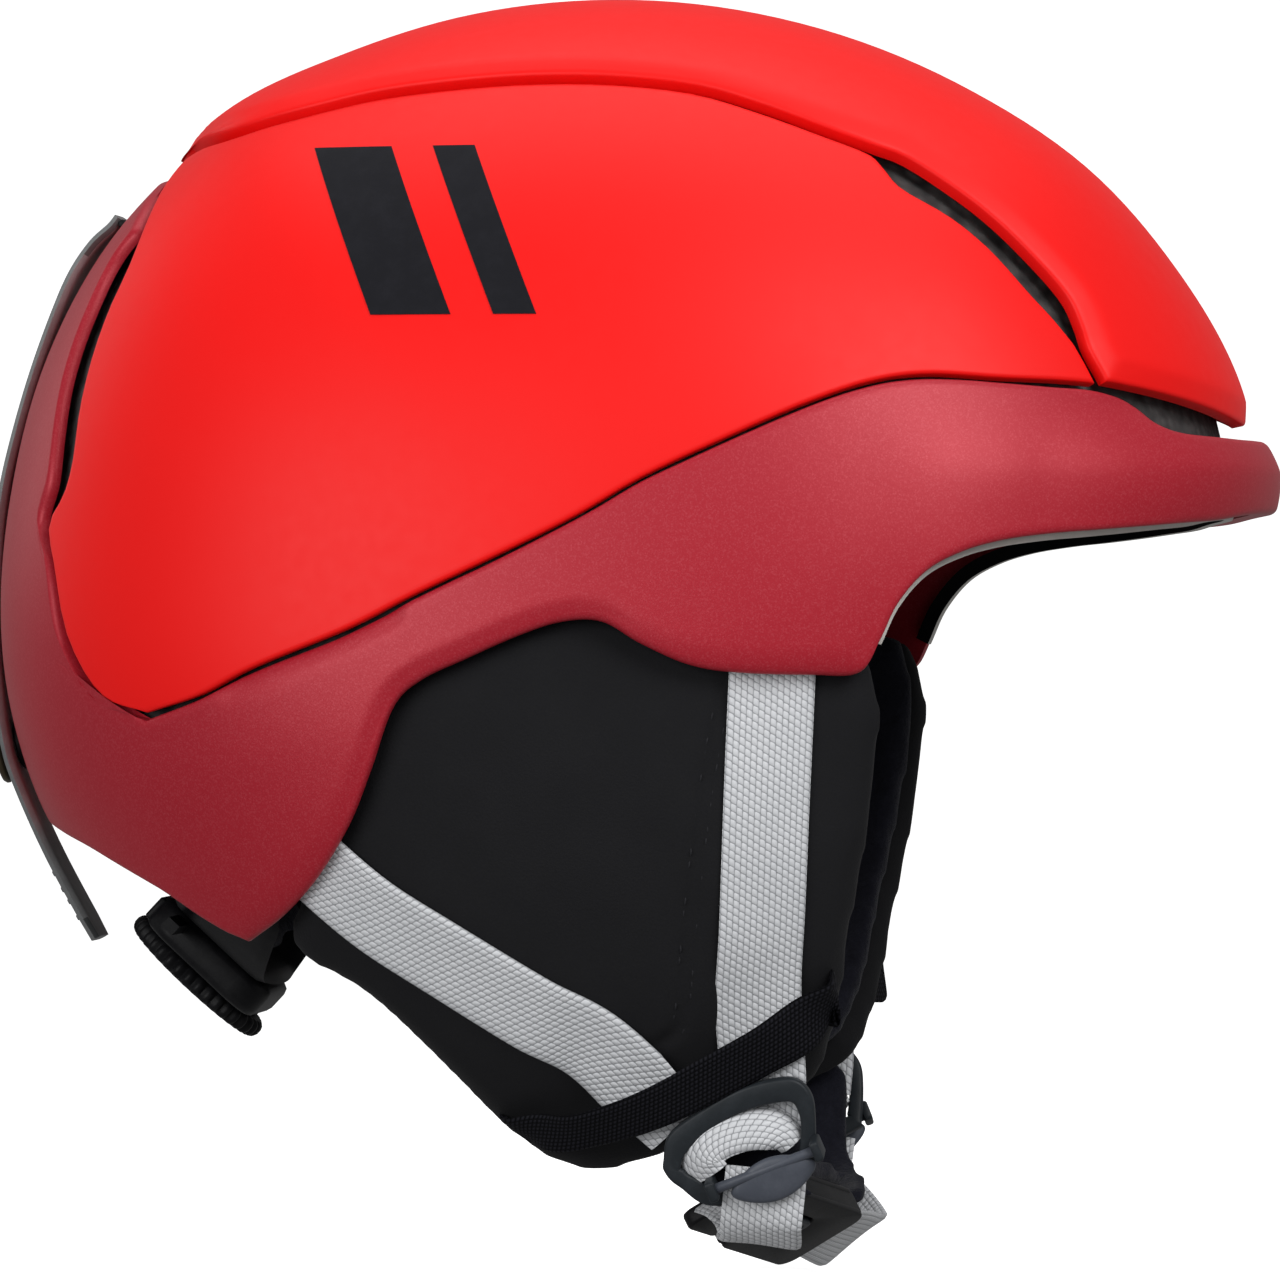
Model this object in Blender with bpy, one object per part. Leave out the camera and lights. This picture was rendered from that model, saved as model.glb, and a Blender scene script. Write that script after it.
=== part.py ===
"""Ski helmet: hard shells over a foam liner, with ear pads, webbing, chin buckle,
fit dial and goggle-strap retainer.

Frame: +X to the front, +Y to the wearer's left, +Z up. The origin is the head seat,
the point of the crown pad that the top of the head touches. Sizes below are in
millimetres; SCALE turns them into metres when a mesh is made.

The outer form is one skin: a rounded body whose side silhouette is drawn by a few
points and whose width follows a superellipse. Shells, liner and pads are patches of
this skin, pushed in or out along its normal, so that they nest without touching.
"""

import math

import bmesh
import bpy
from mathutils import Matrix, Vector

SCALE = 0.001

# ---------------------------------------------------------------- driving dimensions
HALF_WIDTH = 107.0          # half the shell's width, over the ears
CENTRE = Vector((-2.0, 0.0, -114.0))
FULLNESS = 2.25             # superellipse exponent of the cross-section
# Side silhouette at y = 0, as (x, z), from the rear of the crown forwards and round
# under the helmet. The part below the face opening is only a guide for the pads.
SILHOUETTE = [
    (-97.6, -0.5), (-84.2, 10.2), (-62.4, 20.0), (-36.5, 28.0), (0.0, 31.2), (34.3, 26.2),
    (69.2, 12.5), (95.0, -4.6), (112.3, -24.0), (126.0, -47.3), (130.5, -65.0), (130.5, -90.0),
    (126.0, -120.0), (112.0, -160.0), (84.0, -204.0), (44.0, -232.0), (0.0, -240.0),
    (-40.0, -234.0), (-75.0, -210.0), (-98.0, -186.0), (-112.0, -168.0), (-122.0, -152.0),
    (-129.2, -138.4), (-135.5, -118.0), (-137.3, -104.0), (-135.1, -71.5), (-127.5, -43.2),
    (-114.2, -18.5),
]

SHELL = 2.6                 # wall of the side and lower shells
CROWN_PROUD = 2.4           # the crown panel stands proud of the side shells
CROWN_WALL = 4.4
LINER_GAP = 2.0             # between the shells and the foam
LINER_AT = SHELL + LINER_GAP
PAD_GAP = 1.2
COMFORT_PAD = 5.0
BRIM_REACH = 7.0

EAR_PAD_AT = 6.9            # depth of the ear pad's outer face below the skin
EAR_PAD = 11.0
EAR_LINING = 4.0
WEBBING = 18.0              # width of the strap webbing
WEBBING_THICK = 1.2
WEBBING_AT = 5.3            # depth of the webbing's middle below the skin

RETAINER_WIDTH = 22.0
RETAINER_THICK = 1.8
SNAP_RADIUS = 7.75
STUD_RADIUS = 5.5
SNAP_HEIGHT = -126.5

DIAL_CENTRE = Vector((-94.2, 0.0, -174.9))
DIAL_AXIS = Vector((-0.683, 0.0, -0.730)).normalized()
DIAL_RADIUS = 18.0
DIAL_THICK = 4.5
DIAL_LOBES = 38
PINION_TEETH = 12
TOOTH_PITCH = math.pi       # module 1 mm

DIVIDER_CENTRE = Vector((27.0, -80.0, -207.0))
DIVIDER_TILT = math.radians(14)
DIVIDER_THICK = 3.0
SLING_AXIS = (32.9, -213.0)  # x and z of the line the chin strap swings about

BUCKLE_NEAR = Vector((26.5, -29.5, -224.7))
BUCKLE_ALONG = Vector((0.30, 0.94, -0.15))
BUCKLE_OUT = Vector((0.45, -0.30, -0.84))


# ---------------------------------------------------------------------- skin geometry
def polar_silhouette():
    points = []
    for x, z in SILHOUETTE:
        dx, dz = x - CENTRE.x, z - CENTRE.z
        points.append((math.atan2(dz, dx), math.hypot(dx, dz)))
    points.sort()
    first, last = points[0], points[-1]
    turn = 2 * math.pi
    before, after = points[-2], points[1]
    head = [(before[0] - turn, before[1]), (last[0] - turn, last[1])]
    tail = [(first[0] + turn, first[1]), (after[0] + turn, after[1])]
    return head + points + tail


POLAR = polar_silhouette()


def silhouette_radius(angle):
    """Distance from CENTRE to the side silhouette, as a smooth closed curve."""
    turn = 2 * math.pi
    while angle < POLAR[1][0]:
        angle += turn
    while angle >= POLAR[1][0] + turn:
        angle -= turn
    k = 1
    while POLAR[k + 1][0] <= angle:
        k += 1
    (a0, r0), (a1, r1), (a2, r2), (a3, r3) = POLAR[k - 1:k + 3]
    span = a2 - a1
    t = (angle - a1) / span
    slope1 = (r2 - r0) / (a2 - a0) * span
    slope2 = (r3 - r1) / (a3 - a1) * span
    return (
        r1 * (1 + 2 * t) * (1 - t) ** 2
        + slope1 * t * (1 - t) ** 2
        + r2 * t * t * (3 - 2 * t)
        + slope2 * t * t * (t - 1)
    )


def level(point):
    """1 on the skin, less inside it, more outside it."""
    offset = point - CENTRE
    flat = math.hypot(offset.x, offset.z)
    along = flat / silhouette_radius(math.atan2(offset.z, offset.x))
    across = abs(offset.y) / HALF_WIDTH
    return (along ** FULLNESS + across ** FULLNESS) ** (1 / FULLNESS)


def skin_normal(point):
    step = 0.2
    gradient = Vector((0, 0, 0))
    for axis in range(3):
        shift = Vector((0, 0, 0))
        shift[axis] = step
        gradient[axis] = level(point + shift) - level(point - shift)
    return gradient.normalized()


def on_skin(direction):
    """The skin's point in a direction from CENTRE."""
    return CENTRE + direction / level(CENTRE + direction)


def lifted(point, lift):
    return point + skin_normal(point) * lift


def side(x, z):
    """Skin point of the right half that a side view shows at (x, z)."""
    offset_x, offset_z = x - CENTRE.x, z - CENTRE.z
    flat = math.hypot(offset_x, offset_z)
    along = min(1.0, flat / silhouette_radius(math.atan2(offset_z, offset_x)))
    across = (1 - along ** FULLNESS) ** (1 / FULLNESS)
    return Vector((x, -HALF_WIDTH * across, z))


def end_on(y, z, sign):
    """Skin point at (y, z) on the front (sign 1) or the rear (sign -1)."""
    near, far = 0.0, 200.0
    for _ in range(40):
        middle = (near + far) / 2
        if level(Vector((CENTRE.x + sign * middle, y, z))) < 1:
            near = middle
        else:
            far = middle
    return Vector((CENTRE.x + sign * near, y, z))


def rear(y, z):
    return end_on(y, z, -1)


def front(y, z):
    return end_on(y, z, 1)


def mirrored(point):
    return Vector((point.x, -point.y, point.z))


def curve(points, count):
    """count + 1 points on a smooth curve through the given ones, evenly by index."""
    result = []
    last = len(points) - 1
    for i in range(count + 1):
        place = i / count * last
        k = min(int(place), last - 1)
        t = place - k
        before = points[k - 1] if k > 0 else points[0] * 2 - points[1]
        after = points[k + 2] if k + 2 <= last else points[last] * 2 - points[last - 1]
        result.append(
            0.5 * (
                2 * points[k]
                + (points[k + 1] - before) * t
                + (2 * before - 5 * points[k] + 4 * points[k + 1] - after) * t ** 2
                + (3 * points[k] - before - 3 * points[k + 1] + after) * t ** 3
            )
        )
    return result


def evenly(points, count):
    """count + 1 points spaced evenly by length along a smooth curve."""
    fine = curve(points, 16 * len(points))
    reach = [0.0]
    for a, b in zip(fine, fine[1:]):
        reach.append(reach[-1] + (b - a).length)
    result = []
    k = 0
    for i in range(count + 1):
        target = reach[-1] * i / count
        while k < len(fine) - 2 and reach[k + 1] < target:
            k += 1
        t = (target - reach[k]) / max(reach[k + 1] - reach[k], 1e-9)
        result.append(fine[k].lerp(fine[k + 1], t))
    return result


def headings(points):
    return [(point - CENTRE).normalized() for point in points]


def between(start, end, count):
    """Skin points from one edge point to another across the skin."""
    a, b = headings([start, end])
    return [on_skin(a.slerp(b, i / count)) for i in range(count + 1)]


def coons(bottom, top, left, right):
    """Grid of skin points that fills four edges. bottom and top run left to right,
    left and right run bottom to top."""
    bottom, top, left, right = map(headings, (bottom, top, left, right))
    across, up = len(bottom) - 1, len(left) - 1
    grid = []
    for j in range(up + 1):
        v = j / up
        row = []
        for i in range(across + 1):
            u = i / across
            ruled = (
                bottom[i] * (1 - v) + top[i] * v + left[j] * (1 - u) + right[j] * u
            )
            corners = (
                bottom[0] * ((1 - u) * (1 - v)) + bottom[-1] * (u * (1 - v))
                + top[0] * ((1 - u) * v) + top[-1] * (u * v)
            )
            row.append(on_skin((ruled - corners).normalized()))
        grid.append(row)
    return grid


# ---------------------------------------------------------------------- mesh building
def clear_scene():
    for item in list(bpy.data.objects):
        bpy.data.objects.remove(item, do_unlink=True)


def material(name, colour, roughness, metallic=0.0):
    made = bpy.data.materials.get(name)
    if made:
        return made
    made = bpy.data.materials.new(name)
    made.use_nodes = True
    shader = made.node_tree.nodes["Principled BSDF"]
    shader.inputs["Base Color"].default_value = (*colour, 1.0)
    shader.inputs["Roughness"].default_value = roughness
    shader.inputs["Metallic"].default_value = metallic
    return made


COLOURS = {
    "crown_red": ((0.85, 0.012, 0.006), 0.45, 0.0),
    "raspberry": ((0.36, 0.018, 0.028), 0.38, 0.3),
    "foam": ((0.03, 0.03, 0.03), 0.9, 0.0),
    "trim_grey": ((0.66, 0.65, 0.62), 0.5, 0.0),
    "pad_fabric": ((0.012, 0.012, 0.013), 0.85, 0.0),
    "fleece": ((0.009, 0.009, 0.013), 0.95, 0.0),
    "webbing": ((0.6, 0.61, 0.63), 0.6, 0.0),
    "elastic": ((0.017, 0.017, 0.022), 0.8, 0.0),
    "slate_plastic": ((0.06, 0.07, 0.09), 0.45, 0.0),
    "black_plastic": ((0.012, 0.012, 0.013), 0.4, 0.0),
    "retainer_rubber": ((0.16, 0.165, 0.165), 0.6, 0.0),
    "bronze": ((0.05, 0.035, 0.02), 0.35, 0.8),
    "steel": ((0.5, 0.5, 0.5), 0.3, 1.0),
}


def finish(name, mesh_data, finish_name, origin=Vector((0, 0, 0)), sharp=40):
    """Make the object from a bmesh in millimetres. origin is its own origin, which
    lies on the joint's axis where the piece moves."""
    bmesh.ops.remove_doubles(mesh_data, verts=mesh_data.verts, dist=0.01)
    bmesh.ops.recalc_face_normals(mesh_data, faces=mesh_data.faces)
    bmesh.ops.translate(mesh_data, verts=mesh_data.verts, vec=-origin)
    bmesh.ops.scale(mesh_data, verts=mesh_data.verts, vec=(SCALE, SCALE, SCALE))
    mesh = bpy.data.meshes.new(name)
    mesh_data.to_mesh(mesh)
    mesh_data.free()
    mesh.shade_smooth()
    mesh.set_sharp_from_angle(angle=math.radians(sharp))
    made = bpy.data.objects.new(name, mesh)
    made.location = origin * SCALE
    bpy.context.collection.objects.link(made)
    colour, roughness, metallic = COLOURS[finish_name]
    mesh.materials.append(material(finish_name, colour, roughness, metallic))
    return made


class Sheet:
    """An open sheet of skin points, made into a solid by pushing it out and in."""

    def __init__(self):
        self.points = []
        self.faces = []
        self.index = {}

    def vertex(self, point):
        key = tuple(round(value, 2) for value in point)
        if key not in self.index:
            self.index[key] = len(self.points)
            self.points.append(point)
        return self.index[key]

    def face(self, corners):
        loop = []
        for point in corners:
            number = self.vertex(point)
            if number not in loop:
                loop.append(number)
        if len(loop) > 2:
            self.faces.append(loop)

    def grid(self, rows):
        for lower, upper in zip(rows, rows[1:]):
            for i in range(len(lower) - 1):
                self.face((lower[i], lower[i + 1], upper[i + 1], upper[i]))

    def mirror(self):
        for loop in list(self.faces):
            self.face([mirrored(self.points[k]) for k in reversed(loop)])

    def solid(self, outer_lift, inner_lift):
        """Closed mesh between two lifts, each a number or a function of the point."""
        mesh_data = bmesh.new()

        def layer(lift):
            made = []
            for point in self.points:
                amount = lift(point) if callable(lift) else lift
                made.append(mesh_data.verts.new(lifted(point, amount)))
            return made

        outer, inner = layer(outer_lift), layer(inner_lift)
        edges = {}
        for loop in self.faces:
            for a, b in zip(loop, loop[1:] + loop[:1]):
                edges[(a, b)] = True
            mesh_data.faces.new([outer[k] for k in loop])
            mesh_data.faces.new([inner[k] for k in reversed(loop)])
        for a, b in edges:
            if (b, a) not in edges:
                mesh_data.faces.new((outer[b], outer[a], inner[a], inner[b]))
        return mesh_data


def mirrored_copy(mesh_data):
    copy = mesh_data.copy()
    bmesh.ops.scale(copy, verts=copy.verts, vec=(1, -1, 1))
    bmesh.ops.reverse_faces(copy, faces=copy.faces)
    return copy


def pair(name, mesh_data, finish_name, origin=Vector((0, 0, 0)), sharp=40):
    """The right piece and its mirror image on the left."""
    other = mirrored_copy(mesh_data)
    finish(name + "_right", mesh_data, finish_name, origin, sharp)
    finish(name + "_left", other, finish_name, mirrored(origin), sharp)


def strip(centres, normals, width, thickness):
    """Flat band along a path. normals point out of its outer face. width may be a
    number or a list with a value for each station."""
    mesh_data = bmesh.new()
    stations = []
    last = len(centres) - 1
    for i, (centre, normal) in enumerate(zip(centres, normals)):
        along = (centres[min(i + 1, last)] - centres[max(i - 1, 0)]).normalized()
        out = (normal - along * normal.dot(along)).normalized()
        wide = width[i] if isinstance(width, list) else width
        across = along.cross(out) * (wide / 2)
        up = out * (thickness / 2)
        corners = (centre - across + up, centre + across + up,
                   centre + across - up, centre - across - up)
        stations.append([mesh_data.verts.new(corner) for corner in corners])
    for a, b in zip(stations, stations[1:]):
        for k in range(4):
            m = (k + 1) % 4
            mesh_data.faces.new((a[k], a[m], b[m], b[k]))
    mesh_data.faces.new(stations[0][::-1])
    mesh_data.faces.new(stations[-1])
    return mesh_data


def prism(outline, low, high, place):
    """Solid between two levels of an outline in the frame's first two axes."""
    mesh_data = bmesh.new()
    rings = []
    for height in (low, high):
        ring = [mesh_data.verts.new(place @ Vector((a, b, height))) for a, b in outline]
        rings.append(ring)
    count = len(outline)
    for k in range(count):
        m = (k + 1) % count
        mesh_data.faces.new((rings[0][k], rings[0][m], rings[1][m], rings[1][k]))
    mesh_data.faces.new(rings[0][::-1])
    mesh_data.faces.new(rings[1])
    return mesh_data


def ring_prism(outer, inner, low, high, place):
    """A prism with a hole: both outlines have the same number of points."""
    mesh_data = bmesh.new()
    loops = []
    for outline in (outer, inner):
        for height in (low, high):
            loops.append([mesh_data.verts.new(place @ Vector((a, b, height))) for a, b in outline])
    outer_low, outer_high, inner_low, inner_high = loops
    count = len(outer)
    for k in range(count):
        m = (k + 1) % count
        mesh_data.faces.new((outer_low[k], outer_low[m], outer_high[m], outer_high[k]))
        mesh_data.faces.new((inner_low[m], inner_low[k], inner_high[k], inner_high[m]))
        mesh_data.faces.new((outer_high[k], outer_high[m], inner_high[m], inner_high[k]))
        mesh_data.faces.new((outer_low[m], outer_low[k], inner_low[k], inner_low[m]))
    return mesh_data


def circle(radius, count, start=0.0):
    step = 2 * math.pi / count
    return [(radius * math.cos(start + k * step), radius * math.sin(start + k * step))
            for k in range(count)]


def rectangle(a0, a1, b0, b1, corner=0.0):
    """Rectangle, with its corners cut by a chamfer where corner is given."""
    if corner == 0:
        return [(a0, b0), (a1, b0), (a1, b1), (a0, b1)]
    return [(a0 + corner, b0), (a1 - corner, b0), (a1, b0 + corner), (a1, b1 - corner),
            (a1 - corner, b1), (a0 + corner, b1), (a0, b1 - corner), (a0, b0 + corner)]


def frame_at(origin, first, third):
    """Matrix whose third axis is given and whose first axis is near first."""
    third = third.normalized()
    second = third.cross(first).normalized()
    first = second.cross(third).normalized()
    turn = Matrix((first, second, third)).transposed().to_4x4()
    return Matrix.Translation(origin) @ turn


def handed(mesh_data, flip):
    """A copy of a right-hand mesh, mirrored to the left where flip is set."""
    return mirrored_copy(mesh_data) if flip else mesh_data.copy()


def combine(target, tool_mesh, name, operation):
    """Boolean with a hidden tool, which isn't itself a piece of the helmet."""
    tool = finish(name, tool_mesh, "steel")
    tool.hide_render = True
    tool.display_type = "WIRE"
    modifier = target.modifiers.new(name, "BOOLEAN")
    modifier.operation = operation
    modifier.solver = "EXACT"
    modifier.object = tool


# ---------------------------------------------------------------------------- shells
# Edge lines of the right half, as skin points. Front and rear centre points lie at y = 0.
CROWN_EDGE = [
    (-95.4, 1.1), (-85.2, 3.9), (-72.0, 7.2), (-54.1, 11.1), (-36.1, 13.3), (-18.5, 14.4),
    (0.0, 14.1), (17.5, 12.0), (30.5, 8.1), (43.6, 3.2), (53.8, -0.6), (60.5, -3.1),
    (70.0, -9.2), (77.8, -15.1), (86.4, -23.3), (94.2, -32.2), (97.2, -38.4), (99.0, -43.6),
    (102.6, -50.2),
]
CROWN_FRONT_Z = -58.3


def crown_shell():
    """Raised centre panel, from a narrow rear tail to the brow vent."""
    stations, half_rows = 26, 5
    edge = curve([side(x, z) for x, z in CROWN_EDGE], stations)
    centre_line = [rear(0, -1.2)]
    for angle in (129, 112, 96, 80, 65, 51, 38):
        heading = Vector((math.cos(math.radians(angle)), 0, math.sin(math.radians(angle))))
        centre_line.append(on_skin(heading))
    centre_line.append(front(0, CROWN_FRONT_Z))
    centre = evenly(centre_line, stations)
    rows = []
    for e, c in zip(headings(edge), headings(centre)):
        opposite = mirrored(e)
        row = []
        for j in range(-half_rows, half_rows + 1):
            s = j / half_rows
            blend = e * ((s * s - s) / 2) + c * (1 - s * s) + opposite * ((s * s + s) / 2)
            row.append(on_skin(blend.normalized()))
        rows.append(row)
    sheet = Sheet()
    sheet.grid(rows)
    finish("crown_shell", sheet.solid(CROWN_PROUD, CROWN_PROUD - CROWN_WALL), "crown_red")


SIDE_TOP = [
    (-96.6, -0.6), (-85.6, 2.4), (-72.4, 5.8), (-54.4, 9.8), (-36.2, 12.0), (-18.5, 13.1),
    (0.0, 12.8), (17.0, 10.7), (29.9, 6.8), (43.0, 2.0), (53.0, -1.9), (56.2, -4.8),
    (60.4, -9.4), (70.3, -15.2), (78.0, -21.4), (86.6, -30.8), (92.3, -37.0), (96.6, -42.4),
]
SIDE_REAR = [(-97.2, -119.4), (-108.0, -115.6), (-116.0, -103.6), (-119.4, -89.4),
             (-121.2, -80.0), (-117.6, -73.4), (-115.6, -66.0), (-114.6, -56.0),
             (-112.6, -45.6), (-109.6, -35.6), (-104.8, -23.6), (-101.6, -12.0),
             (-96.6, -0.6)]
SIDE_SEAM = [(-97.2, -119.4), (-85.2, -115.2), (-74.3, -109.8), (-54.0, -101.8),
             (-39.4, -94.6), (-22.2, -86.5), (-5.6, -78.2), (8.6, -69.9), (25.4, -61.9),
             (41.8, -54.6), (55.0, -50.0), (66.5, -48.3), (82.8, -49.0), (100.9, -50.3)]


def side_shells():
    """Large side panels between the crown, the rear vent and the lower shell."""
    across, up = 22, 11
    bottom = curve([side(x, z) for x, z in SIDE_SEAM], across)
    top = curve([side(x, z) for x, z in SIDE_TOP], across)
    left = curve([side(x, z) for x, z in SIDE_REAR], up)
    right = between(bottom[-1], top[-1], up)
    sheet = Sheet()
    sheet.grid(coons(bottom, top, left, right))
    pair("side_shell", sheet.solid(0.0, -SHELL), "crown_red")


# Ribs of the lower shell from the rear lower corner forwards: top point, bottom point.
LOWER_RIBS = [
    ((-97.8, -121.1), (-76.9, -168.0)), ((-85.6, -116.7), (-69.0, -162.4)),
    ((-74.7, -111.3), (-61.0, -154.2)), ((-62.0, -106.4), (-53.6, -143.0)),
    ((-54.3, -103.4), (-48.4, -131.0)), ((-46.0, -99.5), (-43.4, -118.0)),
    ((-39.7, -96.2), (-37.4, -112.4)), ((-31.0, -92.0), (-28.0, -108.0)),
    ((-22.6, -88.1), (-17.0, -103.2)), ((-12.0, -82.8), (-8.0, -100.3)),
    ((-2.0, -77.5), (0.4, -100.2)), ((8.3, -71.4), (8.6, -104.8)),
    ((17.0, -67.2), (18.6, -109.2)), ((25.1, -63.4), (29.0, -110.9)),
    ((41.5, -56.1), (44.0, -111.4)), ((49.0, -53.2), (53.6, -111.0)),
    ((54.9, -51.4), (57.6, -104.6)), ((60.0, -50.3), (61.4, -96.6)),
    ((66.5, -49.7), (67.2, -89.8)), ((74.0, -49.8), (74.4, -85.8)),
    ((82.9, -50.4), (82.6, -83.4)), ((92.0, -51.1), (92.1, -82.0)),
    ((101.1, -51.9), (101.0, -81.2)), ((107.8, -54.4), (109.0, -80.4)),
    ((112.0, -59.0), (116.0, -79.6)), ((117.4, -61.4), (122.0, -78.9)),
]
LOWER_FRONT = [(-34.0, -62.2, -77.8), (-17.0, -62.3, -77.2), (0.0, -62.3, -77.0)]
# Edge of the rear spine beside the vent, from the seam's lowest point up to its top.
SPINE_EDGE = [(-97.8, -121.1), (-108.8, -117.2), (-117.4, -104.4), (-120.7, -89.4),
              (-122.6, -79.4), (-120.0, -70.6), (-119.2, -60.2), (-118.2, -50.6),
              (-116.2, -41.8), (-113.2, -33.1), (-108.6, -22.5), (-104.6, -16.4)]
SPINE_TOP = [(0.0, -3.4), (-14.0, -5.2), (-27.0, -10.2)]
NAPE_EDGE = [(0.0, -143.0), (-20.0, -144.0), (-36.0, -146.0), (-50.0, -149.4)]


def brim_lift(point):
    """How far the lower shell's face stands out: only the brim stands proud."""
    toward_front = min(1.0, max(0.0, (point.x - 88.0) / 40.0))
    eased = toward_front * toward_front * (3 - 2 * toward_front)
    depth = min(1.0, max(0.0, (-55.0 - point.z) / 24.0))
    return BRIM_REACH * eased * math.sin(math.pi * (0.04 + 0.72 * depth))


def lower_shell():
    """Band round the helmet: brim, side rails, ear cut-outs and the rear spine."""
    rows = 4
    tops = [side(*top) for top, _ in LOWER_RIBS]
    bottoms = [side(*bottom) for _, bottom in LOWER_RIBS]
    tops += [front(y, top) for y, top, _ in LOWER_FRONT]
    bottoms += [front(y, bottom) for y, _, bottom in LOWER_FRONT]
    count = len(tops) + 12
    ribs = [between(low, high, rows)
            for low, high in zip(curve(bottoms, count), curve(tops, count))]
    sheet = Sheet()
    sheet.grid([[rib[j] for rib in ribs] for j in range(rows + 1)])

    spine_edge = curve([side(x, z) for x, z in SPINE_EDGE], 11)
    right = ribs[0] + spine_edge[1:]
    nape = [rear(y, z) for y, z in NAPE_EDGE] + [side(-97.3, -156.4), side(-86.0, -163.2)]
    top = curve([rear(y, z) for y, z in SPINE_TOP] + [spine_edge[-1]], 7)
    bottom = curve(nape + [ribs[0][0]], 7)
    left = evenly([bottom[0], rear(0, -118.0), rear(0, -90.0), rear(0, -60.0),
                   rear(0, -30.0), top[0]], len(right) - 1)
    sheet.grid(coons(bottom, top, left, right))
    sheet.mirror()

    def inner(point):
        return min(0.6 * brim_lift(point), 3.0) - SHELL

    finish("lower_shell", sheet.solid(brim_lift, inner), "raspberry")


LINER_RIM = [(-85.0, -160.0), (-78.0, -147.0), (-70.0, -132.0), (-60.0, -115.0),
             (-48.0, -102.0), (-30.0, -94.0), (-8.0, -88.0), (14.0, -92.0), (34.0, -96.0),
             (52.0, -96.0), (60.0, -86.5), (75.0, -80.0), (93.0, -77.0), (110.0, -75.6)]


def liner_rim(count):
    """Closed lower edge of the foam, from the rear centre round the right side."""
    half = [rear(0, -139.0), rear(-26, -141.0), rear(-50, -146.0)]
    half += [side(x, z) for x, z in LINER_RIM]
    half += [front(-34, -73.6), front(0, -73.0)]
    right = evenly(half, count // 2)
    left = [mirrored(point) for point in right[-2:0:-1]]
    return right + left


def liner_depth(point):
    """Depth of the foam's inner face below the skin: thick at front and rear."""
    heading = (point - CENTRE).normalized()
    crown = max(0.0, heading.z)
    return LINER_AT + 25.0 - 7.0 * heading.y ** 2 - 3.0 * crown ** 2


def eps_liner():
    """Energy-absorbing foam dome inside the shells."""
    around, up = 48, 10
    rim = headings(liner_rim(around))
    pole = Vector((0, 0, 1))
    sheet = Sheet()
    rows = []
    for j in range(up + 1):
        row = [on_skin(heading.slerp(pole, j / up)) for heading in rim]
        rows.append(row + row[:1])
    sheet.grid(rows)
    finish("eps_liner", sheet.solid(-LINER_AT, lambda point: -liner_depth(point)), "foam")


def beside(points, amount):
    """The line moved sideways over the skin, to the right of its own direction."""
    moved = []
    last = len(points) - 1
    for i, point in enumerate(points):
        along = points[min(i + 1, last)] - points[max(i - 1, 0)]
        across = along.cross(skin_normal(point)).normalized()
        moved.append(on_skin((point + across * amount - CENTRE).normalized()))
    return moved


def brow_trim():
    """Pale edge strip just inside the face opening, from temple to temple."""
    right = [side(*bottom) for _, bottom in LOWER_RIBS[16:]]
    right += [front(y, bottom) for y, _, bottom in LOWER_FRONT]
    whole = right + [mirrored(point) for point in right[-2::-1]]
    edge = evenly(whole, 48)
    sheet = Sheet()
    sheet.grid([beside(edge, 1.4), beside(edge, -1.9)])
    finish("brow_trim", sheet.solid(-SHELL - 0.6, -SHELL - 2.8), "trim_grey")


# ----------------------------------------------------------------------- comfort pads
def pad_patch(corners, across, up, thickness):
    """Pad on the foam's inner face, between four skin points."""
    bottom = between(corners[0], corners[1], across)
    top = between(corners[3], corners[2], across)
    left = between(corners[0], corners[3], up)
    right = between(corners[1], corners[2], up)
    sheet = Sheet()
    sheet.grid(coons(bottom, top, left, right))
    return sheet.solid(lambda point: -liner_depth(point) - PAD_GAP,
                       lambda point: -liner_depth(point) - PAD_GAP - thickness)


def comfort_pads():
    seat = pad_patch((side(-62, 8), side(58, -6), mirrored(side(58, -6)),
                      mirrored(side(-62, 8))), 8, 8, COMFORT_PAD)
    finish("crown_pad", seat, "pad_fabric")
    low, high = front(-58, -74.0), front(-52, -44.0)
    brow = pad_patch((low, mirrored(low), mirrored(high), high), 10, 3, COMFORT_PAD + 1)
    finish("brow_pad", brow, "pad_fabric")
    low, high = rear(-44, -116.0), rear(-44, -66.0)
    nape = pad_patch((low, mirrored(low), mirrored(high), high), 8, 4, COMFORT_PAD)
    finish("nape_pad", nape, "pad_fabric")
    temple = pad_patch((side(-52, -92), side(46, -86), side(46, -50), side(-46, -42)),
                       7, 4, COMFORT_PAD)
    pair("side_pad", temple, "pad_fabric")


# --------------------------------------------------------------------------- ear pads
# Lower outline of the ear pad from its front top corner round to its rear end.
PAD_FRONT = [(54.6, -104.0), (57.0, -117.0), (56.6, -134.0), (53.4, -155.0), (50.0, -170.0),
             (46.6, -190.0), (40.0, -203.0)]
PAD_LOWER = [(-73.0, -174.0), (-62.0, -180.6), (-51.0, -189.0), (-39.0, -201.0),
             (-26.0, -211.0), (-10.0, -217.8), (6.0, -217.8), (24.0, -213.0), (40.0, -203.0)]
PAD_UPPER = [(-73.0, -166.0), (-64.0, -150.0), (-54.0, -128.0), (-46.0, -110.0),
             (-30.0, -100.0), (-8.0, -93.0), (14.0, -98.0), (34.0, -102.0), (54.6, -104.0)]


def pad_edges(across, up, inset=0.0):
    """The four edges of the ear pad's outline, pulled towards its middle by inset."""
    middle = Vector((4.0, 0.0, -155.0))

    def place(x, z):
        point = Vector((x, 0.0, z))
        toward = middle - point
        point += toward.normalized() * min(inset, toward.length)
        return side(point.x, point.z)

    bottom = curve([place(x, z) for x, z in PAD_LOWER], across)
    top = curve([place(x, z) for x, z in PAD_UPPER], across)
    left = between(bottom[0], top[0], up)
    right = curve([place(x, z) for x, z in reversed(PAD_FRONT)], up)
    return bottom, top, left, right


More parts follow.
